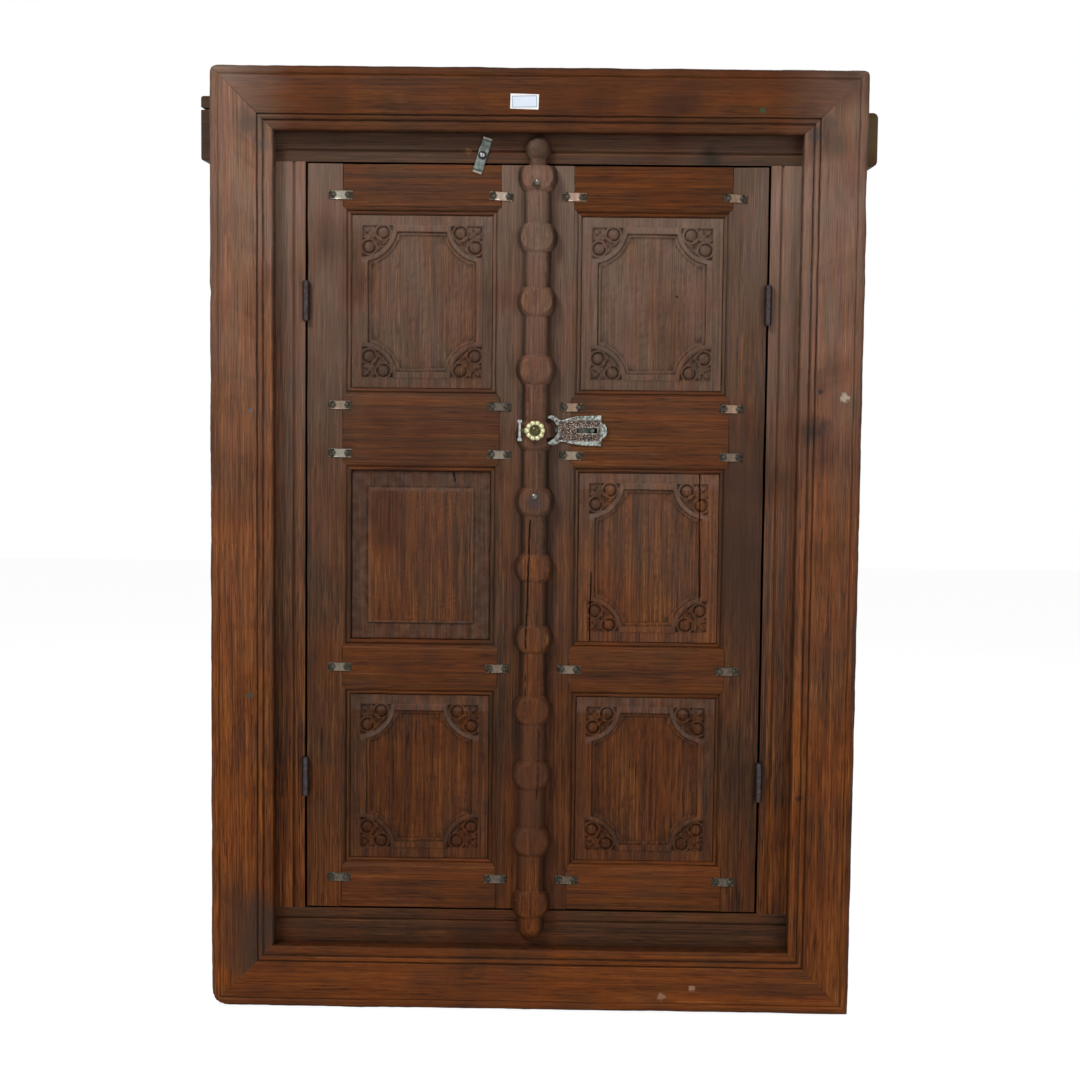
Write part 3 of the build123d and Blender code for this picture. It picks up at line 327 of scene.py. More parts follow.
def ramp(tree, value, *stops):
    """A colour ramp through stops, each a place and a hex colour or a grey level."""
    made = node(tree, "ShaderNodeValToRGB", {0: value})
    points = made.color_ramp.elements
    while len(points) < len(stops):
        points.new(0.5)
    for point, (place, colour) in zip(points, stops):
        point.position = place
        point.color = linear(colour) if isinstance(colour, str) else (colour, colour, colour, 1)
    return made.outputs["Color"]


def noise(tree, place, size, detail=2.0, distortion=0.0, roughness=0.5):
    """Noise whose patches are about as many millimetres across as size says."""
    return node(tree, "ShaderNodeTexNoise", {"Vector": place, "Scale": 1 / (size * MM), "Detail": detail,
                                             "Distortion": distortion, "Roughness": roughness}).outputs["Fac"]


def own_place(tree, kind="Object"):
    """Where each spot is in the object itself, or which way it faces there."""
    return node(tree, "ShaderNodeTexCoord").outputs[kind]


def split(tree, vector):
    return node(tree, "ShaderNodeSeparateXYZ", {0: vector}).outputs


def carried(tree, key):
    """A value that the mesh carries for its material."""
    return node(tree, "ShaderNodeAttribute", attribute_name=key).outputs["Fac"]


def distance_to(tree, place, x, z):
    """How far each spot is from a place seen from in front."""
    links = {"Vector": place, "Location": (-x * MM, 0, -z * MM), "Scale": (1, 0, 1)}
    spot = node(tree, "ShaderNodeMapping", links).outputs[0]
    return node(tree, "ShaderNodeVectorMath", {0: spot}, operation="LENGTH").outputs["Value"]


def dirtied_and_shaded(tree, body, width, *levels):
    """Darkens a colour in hollows up to a width by grey levels, painting dirt and shade there. Returns how
    open each spot is as well.
    """
    open_air = node(tree, "ShaderNodeAmbientOcclusion", {"Distance": width * MM}, samples=6).outputs["AO"]
    return mixed(tree, 1.0, body, ramp(tree, open_air, *levels), "MULTIPLY"), open_air


def relief(tree, height, depth, strength=0.8, **more):
    """Fine unevenness from a height, as many millimetres deep as depth says."""
    links = {"Height": height, "Distance": depth * MM, "Strength": strength} | more
    return node(tree, "ShaderNodeBump", links).outputs[0]


# Millimetres across the grain for each pattern in the wood, and its scale along the grain
FIBRE, STREAK, STRIPE, PORE, FIGURE, STAIN = 0.85, 2.6, 10.0, 1.9, 62.0, 50.0
LONG_GRAIN, PORE_GRAIN, FIGURE_GRAIN, STAIN_GRAIN = 0.012, 0.07, 0.16, 0.3
RINGS = 15.0
COOL_TEAK = (0.0, "#22140e"), (0.35, "#40281a"), (0.6, "#533521"), (1.0, "#785438")
WARM_TEAK = (0.0, "#331708"), (0.35, "#5a2e10"), (0.6, "#6f3a14"), (1.0, "#925726")
# The first grey paints the sheen of light from above on the upper part; the second paints dust, and a
# highlight on the carving's rims
SHEEN_GREY, DUST_AND_HIGHLIGHT, RUBBED = "#9a8072", "#85746a", "#94704f"
# Dark colours: smoke stains, dirt with painted shade for hollows, and soot with painted shade for the flanks
SMOKE, HOLLOW_DIRT_AND_SHADE, FLANK_SHADE_AND_SOOT = "#2b201b", "#1c120d", "#1d1511"


def teak(name, grain="upright", warmth=0.4, shade=1.0, top_sheen=1.0, shift=0, ring=1.0, marks=(), flank_shade_and_soot=0.0,
         ends=0.0, figure=1.0):
    """Old teak, sawn and planed by hand, oiled long ago and handled since: long dark fibres, growth rings
    in contour lines, smoky stains, dirt and painted shade in the quirks, and a painted grey sheen on the
    upper part, where light from above reflects off the fibres."""
    made, tree, shader = material(name, ior=1.46)
    place = own_place(tree)
    corner = (0.37 * shift % 1.9, 0.53 * shift % 1.3, 0.71 * shift % 2.3)

    def drawn(size, stretch, detail=2.0, distortion=0.0):
        """Noise drawn out along the grain."""
        scale = (stretch, 1.0, 1.0) if grain == "level" else (1.0, 1.0, stretch)
        laid = node(tree, "ShaderNodeMapping", {"Vector": place, "Location": corner, "Scale": scale})
        return noise(tree, laid.outputs[0], size, detail, distortion)

    def swing(pattern, size, low=0.3, high=0.7):
        """A pattern that swings a size to both sides of nothing."""
        return spread(tree, pattern, low, high, -size, size)

    fibre, streak = drawn(FIBRE, LONG_GRAIN, 3.0), drawn(STREAK, LONG_GRAIN)
    stripe, pores = drawn(STRIPE, LONG_GRAIN, 3.0, 0.5), drawn(PORE, PORE_GRAIN, 1.0)
    stain, cloud = drawn(STAIN, STAIN_GRAIN, 4.0, 0.7), noise(tree, place, STAIN * 2.6)
    rings = maths(tree, "FRACT", times(tree, drawn(FIGURE, FIGURE_GRAIN, 1.0, 0.5), RINGS * ring))
    rings = ramp(tree, rings, (0.0, 0.35), (0.5, 0.75), (0.82, 0.0), (1.0, 0.35))
    value = plus(tree, swing(fibre, 0.26), swing(streak, 0.16), spread(tree, pores, 0.55, 0.75, 0.03, -0.3),
                 swing(stripe, 0.12), spread(tree, rings, 0.0, 1.0, -0.07, 0.05), swing(stain, 0.11))
    value = maths(tree, "MULTIPLY_ADD", value, figure * (0.75 if grain == "level" else 1.0), 0.47)
    aside, _, height = split(tree, place)
    heat = plus(tree, swing(stripe, 0.22, 0.34, 0.66), swing(cloud, 0.4, 0.35, 0.65),
                spread(tree, height, -0.25, -0.95, -0.12, 0.2), warmth)
    heat = node(tree, "ShaderNodeClamp", {0: heat}).outputs[0]
    body = mixed(tree, heat, ramp(tree, value, *COOL_TEAK), ramp(tree, value, *WARM_TEAK))
    # The painted sheen of light from above lies on the upper half, and on a board that runs across it lies
    # towards its ends
    near_end = plus(tree, size_of(tree, aside), times(tree, stain, 0.08))
    near_end = spread(tree, near_end, 0.35, 0.46, 0.0, ends)
    dull = times(tree, maths(tree, "POWER", spread(tree, height, -0.9, -0.08), 1.9),
                 spread(tree, fibre, 0.25, 0.75, 0.6, 1.4), spread(tree, stain, 0.3, 0.7, 1.35, 0.65), 0.39,
                 plus(tree, near_end, top_sheen))
    body = mixed(tree, dull, body, SHEEN_GREY)
    # Old wax has gone redder in some streaks and greener in others
    hue = spread(tree, drawn(STAIN * 0.4, STAIN_GRAIN, 3.0, 0.3), 0.38, 0.62)
    hue = mixed(tree, hue, (0.97, 1.015, 0.97, 1), (1.04, 0.98, 0.985, 1))
    body = mixed(tree, 1.0, body, hue, "MULTIPLY")
    smoke = times(tree, spread(tree, cloud, 0.54, 0.7), spread(tree, stain, 0.35, 0.6, 0.2, 0.6))
    body = mixed(tree, smoke, body, SMOKE)
    # Dust, and on the carving's rims and upper band a painted highlight, in pale patches
    patchy = noise(tree, place, 13, 3.0)
    dust = times(tree, carried(tree, "dust"), 0.32, spread(tree, patchy, 0.36, 0.64, 0.6, 1.3))
    body = mixed(tree, dust, body, DUST_AND_HIGHLIGHT)
    # Dirt and painted shade stay in corners, quirks and the carving's hollows
    body, open_air = dirtied_and_shaded(tree, body, 7, (0.05, 0.4), (0.34, 0.76), (0.6, 1.0))
    hollow = times(tree, carried(tree, "hollow"), 0.72, spread(tree, patchy, 0.38, 0.62, 1.1, 0.7))
    body = mixed(tree, hollow, body, HOLLOW_DIRT_AND_SHADE)
    # Handled edges are rubbed paler
    normal = node(tree, "ShaderNodeNewGeometry").outputs["Normal"]
    round_edge = node(tree, "ShaderNodeBevel", {"Radius": 1.2 * MM}, samples=4).outputs[0]
    turn = node(tree, "ShaderNodeVectorMath", {0: normal, 1: round_edge}, operation="DOT_PRODUCT")
    rub = times(tree, spread(tree, turn.outputs["Value"], 0.985, 0.9),
                spread(tree, streak, 0.4, 0.65, 0.05, 0.6), open_air)
    body = mixed(tree, rub, body, RUBBED)
    # Painted shade and soot on faces that turn to the sides, such as the batten's flanks
    if flank_shade_and_soot:
        flank = size_of(tree, split(tree, own_place(tree, "Normal"))[X])
        flank_darkening = times(tree, spread(tree, flank, 0.5, 0.85), spread(tree, stain, 0.3, 0.6, 0.6, 1.0), flank_shade_and_soot)
        body = mixed(tree, flank_darkening, body, FLANK_SHADE_AND_SOOT)
    # Knots, stains and dents: a place, a size and a colour. Small ones have a firm edge, wide ones fade out
    for (x, z), size, colour in marks:
        soft, cover = (1.0, 0.85) if size < 8 else (1.5, 0.7)
        ragged = maths(tree, "SUBTRACT", noise(tree, place, size * 0.8, 3.0), 0.5)
        ragged = times(tree, ragged, size * MM * 1.6)
        near = plus(tree, distance_to(tree, place, x, z), ragged)
        inner = size * 0.55 / soft ** 2 * MM
        body = mixed(tree, spread(tree, near, size * soft * MM, inner, 0.0, cover), body, colour)
    body = mixed(tree, 1.0, body, (shade, shade, shade, 1), "MULTIPLY")
    rough = spread(tree, plus(tree, stain, times(tree, fibre, 0.4)), 0.4, 0.95, 0.4, 0.66)
    furrows = plus(tree, times(tree, fibre, 0.5), times(tree, streak, 0.7))
    connect(tree, shader, {"Base Color": body, "Roughness": rough, "Specular IOR Level": 0.14,
                           "Normal": relief(tree, furrows, 0.5, Normal=round_edge)})
    return made


def metal(name, deep, pale, size, roughness, metallic=0.85, rust=None, sides=0.0):
    """Old metal: two finishes of one colour in patches, with rust or dirt over it, dirt and painted shade in
    its corners, and painted shade on its sides where sides is given.
    """
    made, tree, shader = material(name, metallic=metallic)
    place = own_place(tree)
    patch = noise(tree, place, size, 4.0, roughness=0.62)
    body = ramp(tree, patch, (0.36, deep), (0.64, pale))
    if rust:
        crust = noise(tree, place, size * 1.7, 5.0, 0.6, 0.7)
        body = mixed(tree, spread(tree, crust, 0.47, 0.56), body, rust)
    # Dirt and painted shade in the corners
    body, _ = dirtied_and_shaded(tree, body, 4, (0.2, 0.2), (0.8, 1.0))
    # Painted shade on the faces that turn away from the front
    if sides:
        ahead = size_of(tree, split(tree, own_place(tree, "Normal"))[Y])
        body = mixed(tree, spread(tree, ahead, 0.68, 0.95, sides, 0.0), body, "#0c0807")
    rough = spread(tree, patch, 0.3, 0.7, roughness + 0.2, roughness)
    connect(tree, shader, {"Base Color": body, "Roughness": rough, "Normal": relief(tree, patch, 0.2)})
    return made


def ringed(name, middle, size, inner, outer, roughness, metallic):
    """Cast metal seen from in front: one colour inside a radius of the middle and another in a ring outside
    it, with dirt and painted shade in its corners.
    """
    made, tree, shader = material(name, metallic=metallic)
    near = distance_to(tree, own_place(tree), *middle)
    out = spread(tree, near, (size - 0.8) * MM, (size + 0.8) * MM)
    out = times(tree, out, spread(tree, near, size * 2.2 * MM, size * 2.05 * MM))
    # Dirt and painted shade in the corners
    body, _ = dirtied_and_shaded(tree, mixed(tree, out, inner, outer), 2.5, (0.35, 0.1), (0.8, 1.0))
    connect(tree, shader, {"Base Color": body, "Roughness": roughness})
    return made


# Casing: four mitred boards with an edge band, a flat field and a stepped moulding inside
EDGE_BAND, EDGE_QUIRK = 11.0, 2.4
MOULDING, MOULDING_DROP = 21.5, 7.0
MITRE_GAP = 0.06
# The right edge is rubbed away near the top, and the left one is nicked: height, half length and depth
EDGE_DENTS = {"right": (-78, 40, 1.6), "left": (-210, 9, 1.2)}
DENT_REACH = 9.0
CORNER_ROUNDS = {(-1, 1): 13.0, (1, 1): 11.0, (-1, -1): 27.0, (1, -1): 5.0}
edge_shares = ((0.0, 0.6), (0.03, 0.76), (0.1, 0.87), (0.22, 0.94), (0.4, 0.985), (0.62, 1.0),
               (0.86, 0.99), (1.0, 0.95))
moulding_shares = ((0.0, 0.0), (0.02, 0.34), (0.07, 0.38), (0.1, 0.16), (0.17, 0.06), (0.26, 0.07),
                   (0.34, 0.18), (0.37, 0.44), (0.425, 0.5), (0.45, 0.3), (0.5, 0.24), (0.7, 0.22),
                   (0.86, 0.25), (0.94, 0.38), (0.98, 0.55), (1.0, 0.8))
# Painted shade and dirt in the moulding's hollows, by share across the moulding, and how much darker the
# casing gets towards its outer edge, by millimetres
moulding_shade_and_dirt = ((-0.02, 0.0), (0.02, 0.75), (0.07, 0.6), (0.1, 0.15), (0.17, 0.0), (0.26, 0.0),
                 (0.34, 0.25), (0.37, 0.8), (0.425, 0.85), (0.45, 0.4), (0.5, 0.1), (0.7, 0.0),
                 (0.86, 0.0), (0.94, 0.2), (1.0, 0.85))
outer_edge_darkening = (0, 0.8, 4.0, 9.0), (0.75, 0.62, 0.26, 0.04)
casing_section = [(0, casing_back)]
casing_section += [(EDGE_BAND * a, casing_back + (casing_front - casing_back) * b) for a, b in edge_shares]
casing_section += [(EDGE_BAND + EDGE_QUIRK * 0.4, casing_front - EDGE_QUIRK),
                   (EDGE_BAND + EDGE_QUIRK, casing_front)]
casing_section += [(casing_board - MOULDING * (1 - a), casing_front - MOULDING_DROP * b)
                   for a, b in moulding_shares]
casing_section = softened(casing_section + [(casing_board, casing_back)], 0.45)


def rounded_corners(points):
    """Draws the casing's outer corners in to their worn rounds."""
    x, z = points[..., 0], points[..., 2]
    for (right, upper), radius in CORNER_ROUNDS.items():
        centre_x, centre_z = right * (casing_out - radius), (top if upper > 0 else foot) - upper * radius
        dx, dz = right * (x - centre_x), upper * (z - centre_z)
        far = np.hypot(dx, dz)
        outside = (dx > 0) & (dz > 0) & (far > radius)
        pull = np.where(outside, radius / np.maximum(far, 1e-6), 1.0)
        x = np.where(outside, centre_x + right * dx * pull, x)
        z = np.where(outside, centre_z + upper * dz * pull, z)
    return np.stack([x, points[..., 1], z], -1)


def casing_place(side):
    def place(run, across, stand):
        if side in ("left", "right"):
            height, half, depth = EDGE_DENTS[side]
            dent = depth * bell(run - height, half) * np.clip(1 - across / DENT_REACH, 0, 1)
            points = np.stack([(casing_out - across - dent) * SIDES[side], -stand, run], -1)
        else:
            points = np.stack([run, -stand, top - across if side == "top" else foot + across], -1)
        return rounded_corners(points)
    return place


casing_looks = {
    "top": dict(grain="level", warmth=0.8, top_sheen=0.04, shade=0.9, shift=1,
                figure=0.8, ends=1.6, marks=(((284, 25.7), 4.2, "#35543c"),)),
    "bottom": dict(grain="level", warmth=0.9, top_sheen=0.1, shade=1.2, shift=2,
                   marks=(((214, -1113), 5.0, "#93705a"), ((174, -1125), 6.0, "#8d6a52"))),
    "left": dict(warmth=0.8, top_sheen=0.82, shade=1.28, shift=3, figure=1.15,
                 marks=(((-367, 4), 17.0, "#453f3a"), ((-352, -22), 9.0, "#4b4643"),
                        ((-350, -1035), 34.0, "#352b24"), ((-362, -1090), 32.0, "#3a2c22"),
                        ((-367.8, -731.9), 5.0, "#39403a"), ((-367.6, -360.9), 3.0, "#4b5560"))),
    "right": dict(warmth=0.85, top_sheen=1.2, shade=1.06, shift=4, figure=1.15,
                  marks=(((360, -380), 18.0, "#2c2727"), ((396.7, -336), 6.5, "#b0a18f"),
                         ((365, -328), 4.5, "#2b2c30"), ((349.3, -858.9), 5.0, "#2a1e19"),
                         ((372, 12), 8.0, "#54463e"), ((380, -14), 11.0, "#5a4b41"),
                         ((353, -4), 9.0, "#3c3a39"))),
}
for side, looks in casing_looks.items():
    low, high = (-casing_out, casing_out) if side in ("top", "bottom") else (foot, top)

    def mitred(across, stand, low=low + MITRE_GAP, high=high - MITRE_GAP):
        return low + across, high - across

    made = swept(casing_section, mitred, casing_place(side), step=7.0, wear=0.28, seed=10 * looks["shift"])
    x, _, z = made[0].T
    across = {"left": x + casing_out, "right": casing_out - x, "top": top - z, "bottom": z - foot}[side]
    # Painted shade and dirt in the moulding's hollows, and darker towards the outer edge
    dirt = np.interp(1 - (casing_board - across) / MOULDING, *zip(*moulding_shade_and_dirt))
    dirt += np.interp(across, *outer_edge_darkening)
    piece(f"worn_casing_{side}", [made], "frame", [f"casing_{side}"],
          teak(f"teak_casing_{side}", **looks), 30, {"hollow": dirt})

# Leaves: stiles and rails, each with its run of moulding round the panels
sticking_shares = ((0.0, 0.0), (0.0, 0.13), (0.06, 0.17), (0.16, 0.2), (0.27, 0.27), (0.36, 0.4),
                   (0.43, 0.58), (0.46, 0.74), (0.53, 0.78), (0.56, 0.64), (0.6, 0.55), (0.68, 0.47),
                   (0.78, 0.5), (0.87, 0.6), (0.94, 0.76), (1.0, 1.0))


def board_section(low, high, stand):
    back = stand - leaf_thickness
    return softened([(low, stand), (high, stand), (high, back), (low, back)], BOARD_WEAR)


def sticking_section(stand):
    """Moulding from the board's line towards the panel: a step, a hollow, a quirk and a bead."""
    front = [(STICKING * a, stand - 0.02 - STICKING_DEPTH * b) for a, b in sticking_shares[1:]]
    back = stand - leaf_thickness + 0.02
    return softened([(-0.4, front[0][1])] + front + [(STICKING, back), (-0.4, back)], STICKING_WEAR)


def board_place(sign, upright, start=0.0, way=1):
    """Stands a section up in its leaf or lays it across, the section's own places counted from the start."""
    def place(run, a, b):
        off = start + way * a
        return np.stack([sign * off, -b, run] if upright else [sign * run, -b, off], -1)
    return place


def stile(side, kind):
    """An upright board of a leaf, with a run of moulding along each panel."""
    sign, stand = SIDES[side], leaf_stand[side]
    edge, line = (meeting_edge, meeting_line) if kind == "meeting" else (hinge_edge, hinge_line)
    inward = 1 if kind == "meeting" else -1
    seed = 100 + 20 * sign + 7 * inward
    low, high = sorted((edge, line))
    shells = [swept(board_section(low, high, stand), lambda a, b: (leaf_low, leaf_high),
                    board_place(sign, True), seed=seed)]
    for k, (foot_z, head_z) in enumerate(rows):
        def ends(a, b, foot_z=foot_z, head_z=head_z):
            return foot_z - STICKING + a, head_z + STICKING - a
        place = board_place(sign, True, line, inward)
        shells.append(swept(sticking_section(stand), ends, place, seed=seed + k))
    return shells


def rail(side, under, over):
    """A rail between the sight lines under and over it; None where it is the leaf's end."""
    sign, stand = SIDES[side], leaf_stand[side]
    low = leaf_low if under is None else under + STICKING
    high = leaf_high if over is None else over - STICKING
    inner, outer = meeting_line + JOINT_GAP, hinge_line - JOINT_GAP
    seed = int(300 + 10 * sign + abs(low) % 97)
    shells = [swept(board_section(low, high, stand), lambda a, b: (inner, outer),
                    board_place(sign, False), seed=seed)]
    for sight, upward in ((under, -1), (over, 1)):
        if sight is not None:
            place = board_place(sign, False, sight - upward * STICKING, upward)
            shells.append(swept(sticking_section(stand), lambda a, b: (meeting_line + a, hinge_line - a),
                                place, seed=seed + 3 + upward))
    return shells


leaf_looks = {
    "left_meeting_stile": dict(warmth=0.3, top_sheen=1.15, shade=0.86, shift=11),
    "left_hinge_stile": dict(warmth=0.35, top_sheen=1.15, shade=0.85, shift=12),
    "right_meeting_stile": dict(warmth=0.28, top_sheen=1.2, shade=0.84, shift=13),
    "right_hinge_stile": dict(warmth=0.2, top_sheen=1.0, shade=0.8, shift=14, ring=1.5, marks=(
        ((262, -455), 62.0, "#4a3328"), ((255, -560), 80.0, "#452e23"))),
    "left_bottom_rail": dict(warmth=0.5, top_sheen=0.15, shade=0.98, shift=15),
    "left_middle_rail": dict(warmth=0.55, top_sheen=0.15, shade=0.93, shift=16),
    "left_lock_rail": dict(warmth=0.4, top_sheen=0.3, shade=0.9, shift=17),
    "left_top_rail": dict(warmth=0.65, top_sheen=0.15, shade=0.85, shift=18),
    "right_bottom_rail": dict(warmth=0.6, top_sheen=0.1, shade=0.97, shift=19),
    "right_middle_rail": dict(warmth=0.55, top_sheen=0.15, shade=0.96, shift=20),
    "right_lock_rail": dict(warmth=0.6, top_sheen=0.2, shade=0.97, shift=21, ring=1.3),
    "right_top_rail": dict(warmth=0.85, top_sheen=0.0, shade=0.9, shift=22),
}
# The bolt bar's way: a channel in the right leaf's face and a mortise in the left leaf's edge
BOLT_THROW, BOLT_ROOM = 16.0, 0.4
(bolt_tip, bolt_tail), (bolt_low, bolt_high) = reach("bolt_bar", X), reach("bolt_bar", Z)
CUT_PAST, TAIL_ROOM, MEETING_PAST = 3.0, 4.0, 0.5
way_front, way_back = -max(leaf_stand.values()) - CUT_PAST, reach("bolt_bar", Y)[1] + BOLT_ROOM
way_low, way_high = bolt_low - BOLT_ROOM, bolt_high + BOLT_ROOM
channel = ((-MEETING_PAST, way_front, way_low), (bolt_tail + TAIL_ROOM, way_back, way_high))
mortise = ((bolt_tip - BOLT_THROW - BOLT_ROOM, way_front, way_low), (MEETING_PAST, way_back, way_high))
bolt_ways = {"right_meeting_stile": channel, "right_lock_rail": channel, "left_meeting_stile": mortise}
for side in SIDES:
    body = f"{side}_leaf"
    spans = {"bottom_rail": (None, rows[0][0]), "middle_rail": (rows[0][1], rows[1][0]),
             "lock_rail": (rows[1][1], rows[2][0]), "top_rail": (rows[2][1], None)}
    parts = {f"{side}_{kind}_stile": stile(side, kind) for kind in ("meeting", "hinge")}
    parts |= {f"{side}_{name}": rail(side, *span) for name, span in spans.items()}
    for name, shells in parts.items():
        grain = "level" if name.endswith("rail") else "upright"
        if name in bolt_ways:
            shells[0] = channelled(shells[0], *bolt_ways[name])
        piece(f"worn_{name}", shells, body, [name],
              teak(f"teak_{name}", grain=grain, **leaf_looks[name]), 30)

# Panels: a margin, a raised band with a ledge, and corner quadrants carved with scrolls round a leaf
MARGIN = 13.0
BAND_WIDTH, LEDGE_WIDTH = 8.3, 4.2
BAND_RISE, LEDGE_RISE, GROUND_RISE, SCROLL_RISE, EYE_RISE, MARGIN_RISE = 4.4, 1.7, 0.9, 3.6, 5.0, 3.3
QUADRANT, RIM = 47.0, 6.5
EYE_ALONG, EYE_INSET, EYE, EYE_GROOVE = 28.2, 9.6, 7.0, 1.5
EYE_FOOT, GROOVE_RISE = 0.8, 0.6
SCROLL_MIDDLE, SCROLL_HALF = EYE + EYE_GROOVE + 1.6, 1.9
HOLE_DEPTH, HOLE_SPREAD = 2.8, 2.4
CUT_SLOPE, MARGIN_SLOPE = 1.3, 2.2
# Each corner was cut by eye, so none is quite like the next
HAND_SLIP, HAND_TURN, SLIP_REACH = 0.7, 1.7, 20
PLAIN_INSET, PLAIN_LEDGE, PLAIN_STEP = 22.0, 3.6, 2.2
CARVED_STEP, PLAIN_FINE_STEP, FLAT_STEP = 0.7, 1.2, 3.2
TONGUE_EDGE = 0.4
# A hollow this deep under the level round it is fully darkened with dirt and painted shade
FULL_HOLLOW, LEVEL_ROUNDS = 1.15, 18
SPLIT_WIDE, SPLIT_DEEP = 1.0, 4.5
# Old dents: how deep, and how many millimetres across
FINE_DENTS, BROAD_DENTS = (0.16, 7), (0.22, 40)
# Blades of the leaf in the corner: where each starts and stops, its half width and its rise. The first
# points at the corner, and the others come in pairs, the same on both sides of it
LEAF = 13.5
leaf_blades = (((LEAF + 3.5, LEAF + 3.5), (2.6, 2.6), 4.6, 3.7), ((LEAF + 2, LEAF - 2), (15, 1.0), 4.2, 3.4),
               ((28, 20), (LEAF + 1, LEAF - 2), 2.8, 3.0), ((35, 19), (25, 25), 2.4, 2.7))
drilled_holes = ((7.3, 10.3), (10.6, 7.3), (23.4, 23.9))


def petal(p, q, start, stop, width, height):
    """A cushioned blade between two points."""
    (a, b), (c, d) = start, stop
    length = math.hypot(c - a, d - b)
    along = ((p - a) * (c - a) + (q - b) * (d - b)) / length
    across = np.abs((p - a) * (d - b) - (q - b) * (c - a)) / length
    t = np.clip(along / length, 0, 1)
    half = np.maximum(width * np.sin(math.pi * t ** 0.8) ** 0.8, 1e-3)
    return np.where((along > 0) & (along < length), height * arched(across, half), 0)


def corner_carving(p, q):
    """Height of the carving in a quadrant, from the band's outer corner."""
    r = np.hypot(p, q)
    height = np.full(p.shape, GROUND_RISE)
    # Two scrolls leave the crotch under the rim and curl round their eyes
    for eye in ((EYE_ALONG, EYE_INSET), (EYE_INSET, EYE_ALONG)):
        away = np.hypot(p - eye[0], q - eye[1])
        scroll = SCROLL_RISE * arched(away - SCROLL_MIDDLE, SCROLL_HALF)
        height = np.maximum(height, scroll * eased(np.minimum(p, q), 0.6, 1.5))
        dome = EYE_FOOT + (EYE_RISE - EYE_FOOT) * arched(away, EYE)
        height = np.where(away < EYE + EYE_GROOVE, np.where(away < EYE, dome, GROOVE_RISE), height)
    for blade in leaf_blades:
        height = np.maximum(height, np.maximum(petal(p, q, *blade), petal(q, p, *blade)))
    for a, b in drilled_holes:
        height -= HOLE_DEPTH * np.exp(-((p - a) ** 2 + (q - b) ** 2) / HOLE_SPREAD)
    worn = 1 - ((r - (QUADRANT - RIM / 2)) / RIM) ** 2
    rim = BAND_RISE * eased(r, QUADRANT - RIM, 1.0) * np.clip(worn, 0.6, 1)
    return np.maximum(height, rim)


def from_band(x, z, wide, tall):
    """How far each spot lies inside the band's outer edges, beside the nearer upright and level one."""
    return wide / 2 - MARGIN - np.abs(x), tall / 2 - MARGIN - np.abs(z)


def from_edge(x, z, wide, tall):
    """How far each spot lies inside the panel's nearest edge."""
    return np.minimum(wide / 2 - np.abs(x), tall / 2 - np.abs(z))


def carved_relief(x, z, wide, tall):
    """Height of a carved panel over its lowest ground."""
    corner = 2 * (x > 0) + (z > 0)
    p, q = (v + HAND_SLIP * np.sin(HAND_TURN * corner + k) * (v > 0) * np.clip(v / SLIP_REACH, 0, 1)
            for k, v in enumerate(from_band(x, z, wide, tall)))
    inside = np.minimum(p, q)
    r = np.hypot(np.maximum(p, 0), np.maximum(q, 0))
    in_disc = (p > 0) & (q > 0)

    def frame_of(width, radius):
        run = 1 - eased(inside, width, CUT_SLOPE)
        return np.maximum(run, np.where(in_disc, 1 - eased(r, radius, CUT_SLOPE), 0))

    height = np.maximum(LEDGE_RISE * frame_of(BAND_WIDTH + LEDGE_WIDTH, QUADRANT + LEDGE_WIDTH),
                        BAND_RISE * frame_of(BAND_WIDTH, QUADRANT))
    height -= (BAND_RISE - MARGIN_RISE) * (1 - eased(inside, 0.0, MARGIN_SLOPE))
    quadrant = in_disc & (r < QUADRANT - RIM + 1)
    carving = MARGIN_RISE + (corner_carving(p, q) - MARGIN_RISE) * eased(inside, 0.9, 1.8)
    return np.where(quadrant, carving, height)


def plain_relief(x, z, wide, tall):
    """Height of the plain panel over its margin: two low steps."""
    inside = from_edge(x, z, wide, tall)
    upper = 0.6 * eased(inside, PLAIN_INSET + PLAIN_LEDGE, 1.0)
    return PLAIN_STEP * (eased(inside, PLAIN_INSET, 0.9) + upper)


def grid_lines(half, fine, coarse):
    """Places across a panel, close together over the carving and wider over the flat middle."""
    edge = half - (MARGIN + QUADRANT + LEDGE_WIDTH + 3)
    outer = np.arange(half, edge, -fine)
    middle = np.linspace(-outer[-1], outer[-1], max(3, int(2 * outer[-1] / coarse)))
    return np.concatenate([-outer[:-1], middle, outer[:-1][::-1]])


def crack(x, z, line, width, depth):
    """A split that wanders along the grain: its places are (across, height) pairs."""
    heights, places = zip(*sorted((b, a) for a, b in line))
    middle = np.interp(z, heights, places) + 0.3 * np.sin(z / 9.0) + 0.15 * np.sin(z / 2.6)
    ends = eased(z, heights[0], 6.0) * (1 - eased(z, heights[-1], 6.0))
    return -depth * ends * np.clip(1 - np.abs(x - middle) / width, 0, 1)


panel_cracks = {
    "right_middle": (((66.0, 111.0), (66.5, 60.0), (68.0, -56.0)),
                     ((-74.0, -20.0), (-74.6, -60.0), (-75.0, -111.0))),
    "left_middle": (((42.0, 111.0), (45.0, 97.0)),),
}


def level_round(height):
    """The level round each spot, by spreading each height over its neighbours again and again."""
    level = height
    for _ in range(LEVEL_ROUNDS):
        level = (level + np.roll(level, 1, 0) + np.roll(level, -1, 0) + np.roll(level, 1, 1)
                 + np.roll(level, -1, 1)) / 5
    return level


